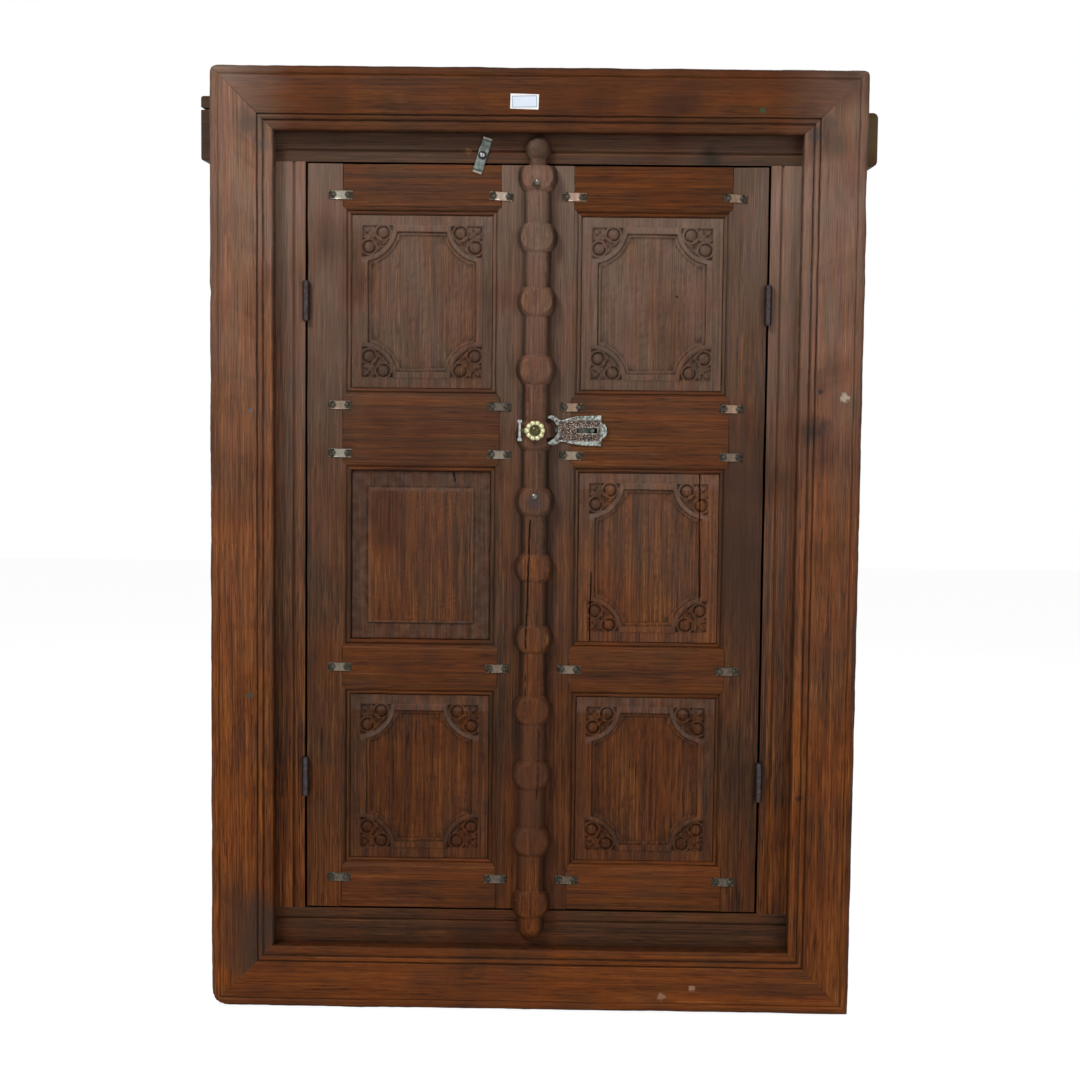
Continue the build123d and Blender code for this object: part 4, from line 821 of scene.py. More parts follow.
def plain_dirt_and_shade(hollow, x, z, wide, tall):
    """Dirt over the plain panel's margin, a painted shadow in a line along its step, and dust on both."""
    inside = from_edge(x, z, wide, tall)
    hollow = np.maximum(hollow, 0.55 * (inside < PLAIN_INSET) * (inside > TONGUE_EDGE))
    # A painted shadow in a line at the foot of the step
    hollow = np.maximum(hollow, bell(inside - PLAIN_INSET + 1.2, 1.4))
    return hollow, np.where(inside < PLAIN_INSET, 0.5, 0.4 * (inside < PLAIN_INSET + PLAIN_LEDGE))


def carved_dirt_and_shade(hollow, x, z, wide, tall):
    """Dirt and painted shade in the carving, more in the lower corners, and dust with a painted highlight on
    the rims and the upper run of the band.
    """
    inside = from_edge(x, z, wide, tall)
    p, q = from_band(x, z, wide, tall)
    r, nearer = np.hypot(p, q), np.minimum(p, q)
    carved = (1 - eased(r, QUADRANT - 1, 4.0)) * eased(nearer, -1.0, 3.0)
    hollow = np.maximum(hollow * (1 - 0.42 * carved), 0.16 * (inside < MARGIN) * (inside > TONGUE_EDGE))
    # Dirt and painted shade over the carving, darker in the lower corners
    hollow = np.maximum(hollow, carved * np.where(z < 0, 0.42, 0.26))
    # Dust and a painted highlight on the rims, stronger in the upper corners, and on the upper run of the
    # band
    on_rim = bell(r - QUADRANT + RIM / 2, 0.6 * RIM) * (nearer > 0) * np.where(z > 0, 1.0, 0.3)
    on_band = np.where(z > tall / 2 - MARGIN - BAND_WIDTH, 0.5, 0.1) * (inside < MARGIN + BAND_WIDTH)
    return hollow, np.maximum(on_rim, on_band)


def panel(side, row):
    """A panel's shell with its tongue all round, and the dirt, painted shade, dust and painted highlight on
    it.
    """
    sign, stand = SIDES[side], leaf_stand[side]
    low, high = rows[row]
    wide, tall = hinge_sight - meeting_sight, high - low
    name = f"{side}_{ROWS[row]}"
    fine, relief_of, dirt_and_shade_of = CARVED_STEP, carved_relief, carved_dirt_and_shade
    if name == "left_middle":
        fine, relief_of, dirt_and_shade_of = PLAIN_FINE_STEP, plain_relief, plain_dirt_and_shade
    x, z = np.meshgrid(*(grid_lines(size / 2 + PANEL_GRIP, fine, FLAT_STEP) for size in (wide, tall)))
    rise = relief_of(x, z, wide, tall)
    flat = np.stack([x, z * 0, z], -1)
    for (depth, size), seed in ((FINE_DENTS, 40), (BROAD_DENTS, 60)):
        rise += depth * uneven(flat, size, seed + row + sign)
    for line in panel_cracks.get(name, ()):
        rise += crack(x, z, line, SPLIT_WIDE, SPLIT_DEEP)
    tongue = (np.abs(x) > wide / 2 - TONGUE_EDGE) | (np.abs(z) > tall / 2 - TONGUE_EDGE)
    rise = np.where(tongue, PANEL_RECESS - PANEL_SEAT, rise)
    centre_x, centre_z = sign * (meeting_sight + hinge_sight) / 2, (low + high) / 2
    front = np.stack([centre_x + x, -(stand - PANEL_RECESS + rise), centre_z + z], -1)
    shell_made, rim = slab(front, -(stand - PANEL_BACK))
    # Dirt and painted shade in the hollows, by how far each spot lies under the level round it
    hollow = np.where(tongue, 0, np.clip((level_round(rise) - rise) / FULL_HOLLOW, 0, 1))
    hollow, dust = dirt_and_shade_of(hollow, x, z, wide, tall)
    return [shell_made], with_rim(rim, hollow=hollow, dust=dust)


panel_looks = {
    "left_lower": dict(warmth=0.4, top_sheen=0.65, shade=0.84, shift=31),
    "left_middle": dict(warmth=0.5, top_sheen=0.75, shade=0.97, shift=32),
    "left_upper": dict(warmth=0.35, top_sheen=0.85, shade=0.96, shift=33),
    "right_lower": dict(warmth=0.4, top_sheen=0.75, shade=0.92, shift=34),
    "right_middle": dict(warmth=0.6, top_sheen=0.85, shade=1.08, shift=35),
    "right_upper": dict(warmth=0.3, top_sheen=1.1, shade=0.99, shift=36,
                        marks=(((181.3, -209), 2.2, "#1d1512"),)),
}
for side in SIDES:
    for row, row_name in enumerate(ROWS):
        name = f"{side}_{row_name}"
        shells, values = panel(side, row)
        piece(f"carved_{name}_panel", shells, f"{side}_leaf", [f"{name}_panel"],
              teak(f"teak_{name}_panel", **panel_looks[name]), 60, values)

# Cover batten: a split turned column, its bosses planed flat in front and worn
COLUMN, BOSS, BOSS_HALF = 18.0, 26.0, 18.0
FINIAL, NECK, NECK_LENGTH = 17.0, 12.0, 9.0
HORN_NOTCH_X, HORN_NOTCH = 14.7, (9.0, 18.1)
BATTEN_STEP, BATTEN_SIDES = 1.6, 56
boss_below_shares = (0.0728, 0.1983, 0.3309, 0.4606, 0.6017, 0.7418, 0.8712)
boss_above_shares = (0.2221, 0.4497, 0.6627, 0.8646)
BOSS_QUIRK, QUIRK_OUT, QUIRK_WIDE = 0.6, 1.2, 1.3
PLANED_OFF, PLANED_HALF, KNOB_OVER = 0.9, 14, 7.2
knob_boss = bolt_z - KNOB_OVER
bosses = [batten_low + (knob_boss - batten_low) * s for s in boss_below_shares] + [knob_boss]
bosses += [knob_boss + (batten_high - knob_boss) * s for s in boss_above_shares]
# Splits along the batten: places across and up, then the width and depth of each
BATTEN_CRACKS = ((((-5.3, -498), (-7.5, -590), (-9.9, -668)), 1.2, 3.5),
                 (((-9.2, -700), (-10.2, -760)), 0.9, 1.8),
                 (((8.8, -772), (9.5, -800), (7.5, -868)), 1.8, 2.6))


def batten_radius(z):
    """The turned radius at each height: a column with bosses, a neck and a ball on top."""
    arc = (BOSS_HALF ** 2 + (BOSS - COLUMN) ** 2) / (2 * (BOSS - COLUMN))
    radius = np.full(z.shape, COLUMN)
    for boss in bosses:
        away = np.abs(z - boss)
        bulge = BOSS - arc + np.sqrt(np.clip(arc ** 2 - away ** 2, 0, None))
        radius = np.where(away < BOSS_HALF, np.maximum(radius, bulge), radius)
        radius -= BOSS_QUIRK * bell(away - BOSS_HALF - QUIRK_OUT, QUIRK_WIDE)
    neck_high = batten_high - 2 * FINIAL + NECK_LENGTH / 2
    finial = np.sqrt(np.clip(FINIAL ** 2 - (z - (batten_high - FINIAL)) ** 2, 0, None))
    radius = np.where(z > neck_high - NECK_LENGTH, np.maximum(NECK, finial), radius)
    radius = np.where(z > batten_high - FINIAL, finial, radius)
    rise = np.clip(z - batten_low, 0, COLUMN)
    rounded_foot = np.sqrt(np.clip(COLUMN ** 2 - (COLUMN - rise) ** 2, 0.01, None))
    return np.where(z < batten_low + COLUMN, rounded_foot, radius)


def batten_shell():
    """Half of the turned column, planed flat in front and notched for the bolt case's horns."""
    z = np.concatenate([batten_low + np.array((0.02, 0.22, 0.62, 1.22)),
                        np.arange(batten_low + 2.4, batten_high - 2, BATTEN_STEP),
                        batten_high - np.array((1.6, 0.9, 0.4, 0.1, 0.0))])
    angle = np.linspace(-math.pi / 2, math.pi / 2, BATTEN_SIDES + 1)
    zz, aa = np.meshgrid(z, angle, indexing="ij")
    base = np.stack([20 * np.sin(aa), 0 * aa, zz], -1)
    radius = np.maximum(batten_radius(zz) + 0.35 * uneven(base, 26, 7) + 0.2 * uneven(base, 9, 8), 0.05)
    radius = np.minimum(radius, batten_radius(zz))
    x, out = radius * np.sin(aa), radius * np.cos(aa) ** 0.8
    flat = batten_flat - batten_back - PLANED_OFF - 0.5 * uneven(base, 38, 9) - 0.3 * uneven(base, 12, 10)
    out = np.minimum(out, flat - np.clip(np.abs(x) / PLANED_HALF, 0, 1) ** 3)
    for line, width, depth in BATTEN_CRACKS:
        out += crack(x, zz, line, width, depth)
    notch = (np.abs(zz - bolt_z) > HORN_NOTCH[0]) & (np.abs(zz - bolt_z) < HORN_NOTCH[1])
    x = np.where(notch, np.minimum(x, HORN_NOTCH_X), x)
    return shell(np.stack([x, -(batten_back + np.maximum(out, 0)), zz], -1))


# The batten's teak has painted shade and soot on its flanks
piece("turned_cover_batten", [batten_shell()], "left_leaf", ["cover_batten"],
      teak("teak_batten", warmth=0.52, top_sheen=0.9, shade=1.05, shift=41, ring=0.8, flank_shade_and_soot=0.8,
           marks=(((-0.9, -474), 9.0, "#3a3a3e"), ((-2, -70), 7.0, "#3b2a1d"), ((-0.5, -22), 20.0, "#3d2b21"),
                  ((0, -850), 100.0, "#492f22"))), 50)

# Small metal pieces. Each is made once and set out on points, turned a little, by geometry nodes
def setting_out():
    """Geometry nodes that set a piece out on points, each turned by its own angle and a little by chance."""
    tree = bpy.data.node_groups.new("set_out", "GeometryNodeTree")
    for label, kind in (("Points", "Geometry"), ("Piece", "Object"), ("Jitter", "Float"), ("Seed", "Int"),
                        ("Finish", "Material")):
        tree.interface.new_socket(name=label, in_out="INPUT", socket_type=f"NodeSocket{kind}")
    tree.interface.new_socket(name="Made", in_out="OUTPUT", socket_type="NodeSocketGeometry")
    given = node(tree, "NodeGroupInput").outputs
    turn = node(tree, "GeometryNodeInputNamedAttribute", {"Name": "turn"}, data_type="FLOAT").outputs[0]
    loose = node(tree, "FunctionNodeRandomValue", {"Seed": given["Seed"]}, data_type="FLOAT").outputs[1]
    lean = times(tree, spread(tree, loose, 0.0, 1.0, -1.0, 1.0), given["Jitter"])
    rotation = node(tree, "ShaderNodeCombineXYZ", {1: plus(tree, turn, lean)}).outputs[0]
    held = node(tree, "GeometryNodeObjectInfo", {"Object": given["Piece"]}).outputs["Geometry"]
    laid = node(tree, "GeometryNodeInstanceOnPoints",
                {"Points": given["Points"], "Instance": held, "Rotation": rotation}).outputs[0]
    real = node(tree, "GeometryNodeRealizeInstances", {0: laid}).outputs[0]
    done = node(tree, "GeometryNodeSetMaterial", {"Geometry": real, "Material": given["Finish"]}).outputs[0]
    node(tree, "NodeGroupOutput", {0: done})
    return tree


def scattered(points, values, pattern, finish, jitter, seed):
    """Sets a small mesh out on points given in millimetres and returns it all as one plain mesh."""
    tree = setting_out()
    mesh = bpy.data.meshes.new("points")
    mesh.from_pydata([tuple(v * MM for v in point) for point in points], [], [])
    carry(mesh, values)
    maker, pattern_object = placed("maker", mesh), placed("pattern", pattern)
    modifier = maker.modifiers.new("set_out", "NODES")
    modifier.node_group = tree
    chosen = {"Piece": pattern_object, "Jitter": jitter, "Seed": seed, "Finish": finish}
    for socket in tree.interface.items_tree:
        if socket.in_out == "INPUT" and socket.name in chosen:
            modifier[socket.identifier] = chosen[socket.name]
    done_mesh = bpy.data.meshes.new_from_object(evaluated(maker))
    maker.modifiers.remove(modifier)
    for made in (maker, pattern_object):
        bpy.data.objects.remove(made)
    return done_mesh


def islands(name):
    """Middle and front of each separate solid in a CAD node, in millimetres."""
    bm = bmesh.new()
    bm.from_mesh(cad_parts[name].data)
    bmesh.ops.remove_doubles(bm, verts=bm.verts, dist=0.001 * MM)
    left, found = set(bm.verts), []
    while left:
        group, edge = [], [left.pop()]
        while edge:
            vert = edge.pop()
            group.append(vert.co / MM)
            for other in (e.other_vert(vert) for e in vert.link_edges):
                if other in left:
                    left.remove(other)
                    edge.append(other)
        low, high = np.min(group, 0), np.max(group, 0)
        found.append((*((low + high) / 2), low[1], high[1]))
    bm.free()
    return sorted(found, key=lambda place: (-round(place[2] / 12), place[0]))


def strip_grid(count):
    """Shares from -1 to 1 along and across a metal strip."""
    return np.meshgrid(np.linspace(-1, 1, count), np.linspace(-1, 1, 17))


def cut_edge(along, across, rise, edge):
    """Drops a strip's rise at its cut edge."""
    return np.where((np.abs(along) > 0.999) | (np.abs(across) > 0.999), edge, rise)


def lifted_end(share, start):
    """0 up to a share of a strip's half length or width, and rising to 1 at its end."""
    return np.clip((np.abs(share) - start) / (1 - start), 0, 1)


STRAP_LONG, STRAP_WIDE, STRAP_NAILS, STRAP_BACK = 31.0, 11.5, 8.6, 0.3
STRAP_THICK, BRIDGE_RISE, LIP_RISE = 0.75, 0.85, 0.45
NAIL_DIP, NAIL_DIP_WIDE = 0.6, 2.6
NAIL, NAIL_SHANK = 2.7, 0.4
u, v = strip_grid(41)
from_nail = np.hypot((np.abs(u) - 2 * STRAP_NAILS / STRAP_LONG) * STRAP_LONG / 2, v * STRAP_WIDE / 2)
strap_rise = STRAP_THICK + BRIDGE_RISE * bell(u, 0.3) + LIP_RISE * lifted_end(v, 0.72)
strap_rise = cut_edge(u, v, strap_rise - NAIL_DIP * bell(from_nail, NAIL_DIP_WIDE), -0.1)
strap_half = STRAP_WIDE / 2 * (1 - 0.16 * lifted_end(u, 0.9) + 0.02 * np.sin(9 * u))
strap_shell, strap_rim = slab(np.stack([u * STRAP_LONG / 2, -strap_rise, v * strap_half], -1), STRAP_BACK)
strap_pattern = solid_mesh("strap", [strap_shell], with_rim(strap_rim, along=u, lip=np.abs(v)))
smoothed(strap_pattern, 50)


def turned_shape(profile, count=20):
    """A shell turned about the Y axis from (radius, stand) pairs that start and end at the middle."""
    angle = np.linspace(0, 2 * math.pi, count, endpoint=False)
    radius, stand = np.array(profile).T[..., None]
    radius = np.maximum(radius, 0.01)
    return shell(np.stack([radius * np.cos(angle), -stand + 0 * angle, radius * np.sin(angle)], -1))


nail_profile = [(0, 1.0), (0.9, 0.95), (1.7, 0.75), (NAIL - 0.3, 0.4), (NAIL, 0.1), (NAIL, -NAIL_SHANK),
                (0, -NAIL_SHANK)]
nail_pattern = solid_mesh("nail", [turned_shape(nail_profile)])
nail_pattern.shade_smooth()


def strap_metal():
    """Tinned copper strip, cut and bent over each joint: rubbed bright and given a painted sheen on the
    bridge and lips, and dark by the nails."""
    made, tree, shader = material("tinned_copper_straps", metallic=0.75)
    lip = carried(tree, "lip")
    patch = noise(tree, own_place(tree), 3.2, 4.0)
    bridge_end = plus(tree, 0.3, times(tree, lip, 0.2))
    bridge = maths(tree, "SUBTRACT", size_of(tree, carried(tree, "along")), bridge_end)
    folded = times(tree, spread(tree, lip, 0.72, 0.9), spread(tree, patch, 0.42, 0.55), 0.9)
    # The bridge and the lips: rubbed bright metal with a painted sheen, brighter on straps with more shine
    bright = times(tree, biggest(tree, spread(tree, bridge, 0.1, -0.06), folded),
                   carried(tree, "shine"), spread(tree, patch, 0.2, 0.5, 0.75, 1.0))
    rubbed = mixed(tree, carried(tree, "copper"), "#d8d2c0", "#dba98c")
    old = mixed(tree, spread(tree, patch, 0.4, 0.6), "#29251f", "#544b3c")
    connect(tree, shader, {"Base Color": mixed(tree, bright, old, rubbed),
                           "Roughness": spread(tree, bright, 0.0, 1.0, 0.6, 0.3),
                           "Normal": relief(tree, patch, 0.3, 0.7)})
    return made


# How bright and how coppery each strap is, read row by row from the top, hinge side first on the left leaf
strap_shines = {"left": (0.7, 1.0, 0.5, 0.16, 0.6, 0.42, 0.3, 0.3, 0.14, 0.2),
                "right": (0.85, 0.35, 0.55, 0.5, 0.5, 0.25, 0.3, 0.14, 0.16, 0.14)}
strap_coppers = {"left": (0.05, 0.35, 0.5, 0.2, 0.0, 0.25, 0.3, 0.5, 0.2, 0.2),
                 "right": (0.7, 0.8, 0.75, 0.8, 0.4, 0.5, 0.3, 0.5, 0.4, 0.3)}
STRAP_TURN, NAIL_TURN = math.radians(3.5), 0.5
straps_finish = strap_metal()
# Nail heads of soft iron in dark and pale patches, with dirt and painted shade round the rim
nail_finish = metal("strap_nail_iron", "#262420", "#6a675c", 2.0, 0.45, metallic=0.7)
for side in SIDES:
    straps, nails = islands(f"{side}_repair_straps"), islands(f"{side}_strap_nails")
    looks = {"shine": strap_shines[side], "copper": strap_coppers[side], "turn": [0.0] * len(straps)}
    made = scattered([(x, back - 0.02, z) for x, y, z, front, back in straps], looks, strap_pattern,
                     straps_finish, STRAP_TURN, 5)
    settle(made, f"bent_{side}_straps", f"{side}_leaf", [f"{side}_repair_straps"], 50)
    made = scattered([(x, -leaf_stand[side] - 0.55, z) for x, y, z, front, back in nails],
                     {"turn": [0.0] * len(nails)}, nail_pattern, nail_finish, NAIL_TURN, 6)
    settle(made, f"domed_{side}_nails", f"{side}_leaf", [f"{side}_strap_nails"], 50)

# Turn button: a strip of zinc bent over at both ends, on one slotted screw
BUTTON_LONG, BUTTON_WIDE, BUTTON_TURN = 48.0, 13.0, math.radians(17)
BUTTON_THICK, BUTTON_TWIST, BEND_RISE, BEND_SHARE, CREASE = 1.3, 0.25, 1.4, 0.94, 0.5
button_x, button_z = centre("button_screw")
button_back = -reach("turn_button", Y)[1]
u, v = strip_grid(57)
button_rise = BUTTON_THICK + BUTTON_TWIST * np.sin(3 * u + 1) * v
button_rise = button_rise + BEND_RISE * bell(np.abs(u) - BEND_SHARE, 0.045)
button_rise = cut_edge(u, v, button_rise - CREASE * bell(u - 0.3, 0.06), 0.2)
button_half = BUTTON_WIDE / 2 * (1 - 0.05 * lifted_end(u, 0.9) + 0.015 * np.sin(7 * u))
across, along = v * button_half, u * BUTTON_LONG / 2
cos_turn, sin_turn = math.cos(BUTTON_TURN), math.sin(BUTTON_TURN)
tilted_x = button_x + across * cos_turn + along * sin_turn
tilted_z = button_z - across * sin_turn + along * cos_turn
button_front = np.stack([tilted_x, -(button_back + button_rise), tilted_z], -1)
button_shell, button_rim = slab(button_front, -button_back)


def zinc():
    """Zinc strip gone dull grey-green, paler where the bent ends are rubbed, with painted shade in a dark
    line at each bend and round the screw."""
    made, tree, shader = material("dull_zinc_button", metallic=0.55)
    place, lip = own_place(tree), carried(tree, "lip")
    body = ramp(tree, noise(tree, place, 5, 5.0), (0.35, "#69716b"), (0.65, "#959f98"))
    body = mixed(tree, spread(tree, lip, 0.86, 0.93), body, "#cdbfae")
    # Painted shade: a dark line at each bend and a ring round the screw
    ring = maths(tree, "COMPARE", distance_to(tree, place, button_x, button_z), 4.6 * MM, 1.0 * MM)
    dark = biggest(tree, maths(tree, "COMPARE", lip, 0.82, 0.035), ring)
    body = mixed(tree, times(tree, dark, 0.8), body, "#2b2723")
    connect(tree, shader, {"Base Color": body, "Roughness": 0.42})
    return made


piece("bent_turn_button", [button_shell], "turn_button", ["turn_button"], zinc(), 50,
      with_rim(button_rim, lip=np.abs(u)))


# Bolt case: a hammered iron plate with a swallow-tail end, its rim tinned and its middle rusted brown
def divided(loop, spacing):
    """A closed loop with places added along its sides, about the spacing apart."""
    out = []
    for (a, b), (c, d) in zip(loop, loop[1:] + loop[:1]):
        count = max(1, int(math.hypot(c - a, d - b) / spacing))
        out += [(a + (c - a) * k / count, b + (d - b) * k / count) for k in range(count)]
    return out


def within(spots, loops):
    """Whether each spot is inside the first loop and outside the rest, by how often a line to its right
    crosses each loop."""
    inside = []
    for loop in loops:
        odd = np.zeros(len(spots), bool)
        for (a, b), (c, d) in zip(loop, loop[1:] + loop[:1]):
            across = (b > spots[:, 1]) != (d > spots[:, 1])
            odd ^= across & (spots[:, 0] < (c - a) * (spots[:, 1] - b) / ((d - b) or 1e-9) + a)
        inside.append(odd)
    return inside[0] & ~np.any(inside[1:], axis=0)


def plate(loops, rise, base, spacing):
    """A thin plate from its outline and holes, given as (across, height) loops. rise gives the front's height
    over the base from the place and the distance to the nearest edge."""
    dense, edges = [], []
    for loop in loops:
        ring, start = divided(loop, spacing), len(dense)
        dense += ring
        edges += [(start + k, start + (k + 1) % len(ring)) for k in range(len(ring))]
    rim = np.array(dense)

    def edge_distance(spots):
        nearest = np.full(len(spots), 1e9)
        for a, b in edges:
            along = rim[b] - rim[a]
            share = np.clip(((spots - rim[a]) @ along) / (along @ along), 0, 1)
            nearest = np.minimum(nearest, np.linalg.norm(spots - rim[a] - share[:, None] * along, axis=1))
        return nearest

    low, high = rim.min(0), rim.max(0)
    grid = np.stack(np.meshgrid(np.arange(low[0], high[0], spacing), np.arange(low[1], high[1], spacing)), -1)
    grid = grid.reshape(-1, 2)
    keep = within(grid, loops) & (edge_distance(grid) > spacing * 0.5)
    spread_out = [Vector(p) for p in dense + grid[keep].tolist()]
    spots, _, triangles, *_ = geometry.delaunay_2d_cdt(spread_out, edges, [], 1, 1e-4)
    spots = np.array([tuple(p) for p in spots])
    inside = within(spots[np.array(triangles)].mean(1), loops)
    triangles = [tuple(t) for t, kept in zip(triangles, inside) if kept]
    far = edge_distance(spots)
    front = np.stack([spots[:, 0], -(base + rise(spots[:, 0], spots[:, 1], far)), spots[:, 1]], -1)
    back = np.stack([spots[:, 0], np.full(len(spots), -base), spots[:, 1]], -1)
    sides = dict.fromkeys((a, b) for t in triangles for a, b in zip(t, t[1:] + t[:1]))
    count = len(spots)
    faces = [list(t) for t in triangles] + [[v + count for v in t[::-1]] for t in triangles]
    faces += [[b, a, a + count, b + count] for a, b in sides if (b, a) not in sides]
    return (np.vstack([front, back]), faces), np.concatenate([far, far])


case_left, case_right = reach("bolt_case", X)
case_base, case_half = leaf_stand["right"], 19.8
CASE_BODY, CASE_MOUTH = 85.0, 29.6
SLOT, SLOT_HALF = (53.5, 80.0), 3.4
CASE_THICK, OVER_BOLT, HORN_RISE, RIM_ROLL, CASE_STEP = 2.6, 1.7, 4.2, 0.8, 0.9
# Its outline, from the upper horn's tip round by the nose, as (across, height over the bolt's line)
case_outline = ((case_left, 15.4), (case_left + 0.6, 18.4), (20.0, 19.6), (25.0, 18.3), (31.6, 13.2),
                (34.4, 13.0), (43.0, 15.4), (53.0, 18.6), (CASE_BODY, case_half), (86.0, 9.4),
                (89.5, 9.2), (92.2, 4.0), (case_right, -1.0), (91.6, -6.2), (88.0, -10.0),
                (86.0, -10.4), (CASE_BODY, -case_half), (63.0, -19.2), (45.0, -16.8), (33.0, -14.2),
                (28.5, -17.4), (22.0, -19.2), (case_left + 0.5, -18.6), (case_left + 0.2, -15.6),
                (20.0, -13.2), (25.0, -9.0), (28.4, -4.0), (CASE_MOUTH, 0.5), (28.6, 5.0), (25.6, 10.0),
                (21.0, 14.4), (18.0, 15.6))
slot_outline = tuple((SLOT[k], SLOT_HALF * share) for k, share in ((0, -0.9), (0, 0.9), (1, 1.0), (1, -1.0)))


def case_rise(x, z, far):
    """Rises at the horns and over the bolt, with a rolled rim and hammer marks in rows."""
    spots = np.stack([x, z * 0, z], -1)
    body = CASE_THICK + OVER_BOLT * eased(8.5 - np.abs(z - bolt_z), 0, 3.0) * eased(x, 38, 8)
    horns = HORN_RISE * np.clip((33 - x) / 17, 0, 1) ** 1.4
    rim = RIM_ROLL * bell(far - 1.0, 0.9)
    hammered = 0.5 * np.sin(x * 1.55 + 0.6 * np.sin(z)) * np.sin(z * 1.5 + 0.5 * np.sin(x * 0.7))
    return body + horns + rim + (hammered + 0.35 * uneven(spots, 5, 71)) * np.clip((far - 1.5) / 1.5, 0, 1)


case_loops = [[(a, bolt_z + b) for a, b in loop] for loop in (case_outline, slot_outline)]
case_shell, case_far = plate(case_loops, case_rise, case_base, CASE_STEP)


def hammered_iron():
    """Iron plate, tinned long ago: pale green-grey on the rim, horns and nose, and brown rust in the hammered
    field."""
    made, tree, shader = material("hammered_bolt_iron", metallic=0.45)
    place = own_place(tree)
    across, _, height = split(tree, place)
    off_line = size_of(tree, maths(tree, "SUBTRACT", height, bolt_z * MM))
    patch, fine = noise(tree, place, 4, 5.0), noise(tree, place, 1.6, 3.0)
    rim = spread(tree, carried(tree, "far"), 2.4, 1.0)
    horns = spread(tree, across, 34 * MM, 26 * MM)
    tin = times(tree, rim, spread(tree, off_line, 4.5 * MM, 8.5 * MM, 0.3, 1.0))
    for more in (spread(tree, off_line, 12.5 * MM, 15.5 * MM), spread(tree, across, 83 * MM, 87 * MM),
                 times(tree, horns, spread(tree, patch, 0.4, 0.55))):
        tin = biggest(tree, tin, more)
    tin = times(tree, tin, spread(tree, patch, 0.3, 0.5, 0.35, 1.0))
    brown = mixed(tree, spread(tree, fine, 0.4, 0.6), "#2e211c", "#80675a")
    brown = mixed(tree, spread(tree, fine, 0.55, 0.63), brown, "#c2b4a6")
    pale = mixed(tree, spread(tree, patch, 0.38, 0.62), "#66736c", "#ccd0ca")
    # Dirt and painted shade in its corners and round the slot
    body, _ = dirtied_and_shaded(tree, mixed(tree, tin, brown, pale), 2.5, (0.2, 0.25), (0.7, 1.0))
    connect(tree, shader, {"Base Color": body, "Roughness": spread(tree, tin, 0, 1, 0.6, 0.38),
                           "Normal": relief(tree, fine, 0.4)})
    return made


piece("hammered_bolt_case", [case_shell], "right_leaf", ["bolt_case"], hammered_iron(), 40,
      {"far": case_far})

# Pull knob: a cast brass rosette of ten cupped petals round a dome, with an arm to its crossbar
PETALS, PETAL_REACH, KNOB_HEIGHT = 10, 13.0, 6.2
DOME_SHARE, CUP_SHARE = 0.42, 0.5
knob_back = -reach("pull_knob", Y)[0] - KNOB_HEIGHT
angle = np.linspace(0, 2 * math.pi, 120, endpoint=False)
petal_wave = np.abs(np.cos(PETALS * angle / 2)) ** 0.6
knob_rings = []
for share in np.linspace(0.01, 1.0, 34):
    if share < DOME_SHARE:
        stand = np.full(angle.shape, 2.6 + (KNOB_HEIGHT - 3.0) * math.sqrt(1 - (share / DOME_SHARE) ** 2))
    else:
        cup = max(0.0, math.sin(math.pi * min((share - CUP_SHARE) / 0.52, 1.0)))
        stand = 1.3 + 3.2 * cup ** 0.7 * (0.3 + 0.7 * petal_wave)
    radius = share * (PETAL_REACH - 1.6 * (1 - petal_wave) * eased(np.array(share), 0.7, 0.4))
    knob_rings.append(np.stack([radius * np.cos(angle), -(knob_back + stand), radius * np.sin(angle)], -1))
edge = knob_rings[-1].copy()
for drop, shrink in ((1.2, 1.0), (2.4, 0.92), (2.6, 0.55), (6.5, 0.5), (6.5, 0.05)):
    ring = edge * (shrink, 1, shrink)
    ring[:, 1] = -(knob_back + 2.2 - drop)
    knob_rings.append(ring)
knob_shell = shell(np.array(knob_rings) + (0, 0, bolt_z))
ARM_START, ARM_REACH, ARM_ROOT = 7.0, 18.4, 4.2
arm_section = [(-ARM_ROOT, 0.5), (0, 2.2), (ARM_ROOT, 0.5), (ARM_ROOT, -1.5), (-ARM_ROOT, -1.5)]


def arm_place(run, a, b):
    return np.stack([run, -(knob_back + b), bolt_z + a * (1 + (run + ARM_START) / 26)], -1)


arm = swept(softened(arm_section, 0.6), lambda a, b: (-ARM_START, -ARM_REACH), arm_place, step=1.0, wear=0.08)
# Brass, green-brown with old polish in the middle and pale where fingers rub the petals
brass = ringed("worn_brass", (0.0, bolt_z), 6.3, "#57522f", "#f6f0bd", 0.28, 0.5)
piece("rosette_pull_knob", [knob_shell, arm], "left_leaf", ["pull_knob"], brass, 50)


# The CAD pieces that stay: main frame, hinges, fixings, glass and what the back shows
def old_mirror():
    """Silvered glass: bright in the middle, black where damp crept under the silver from the rebate, a black
    that also paints the shade seen through the gaps round the leaves.
    """
    made, tree, shader = material("silvered_mirror_glass", metallic=1.0)
    place = own_place(tree)
    across, _, height = split(tree, place)
    past = []
    for value, low, high in ((across, -hinge_edge, hinge_edge), (height, leaf_low, leaf_high)):
        away = size_of(tree, maths(tree, "SUBTRACT", value, (low + high) / 2 * MM))
        past.append(maths(tree, "SUBTRACT", away, (high - low) / 2 * MM))
    damp = noise(tree, place, 48, 5.0)
    creep = maths(tree, "MULTIPLY_ADD", damp, 22 * MM, biggest(tree, *past))
    # Black near the edges: silver spoilt by damp, and painted shade for the gaps round the leaves
    black = spread(tree, creep, -11 * MM, 4 * MM)
    connect(tree, shader, {"Base Color": mixed(tree, black, "#dfe4e2", "#12100d"),
                           "Roughness": spread(tree, black, 0.0, 1.0, 0.02, 0.6)})
    return made


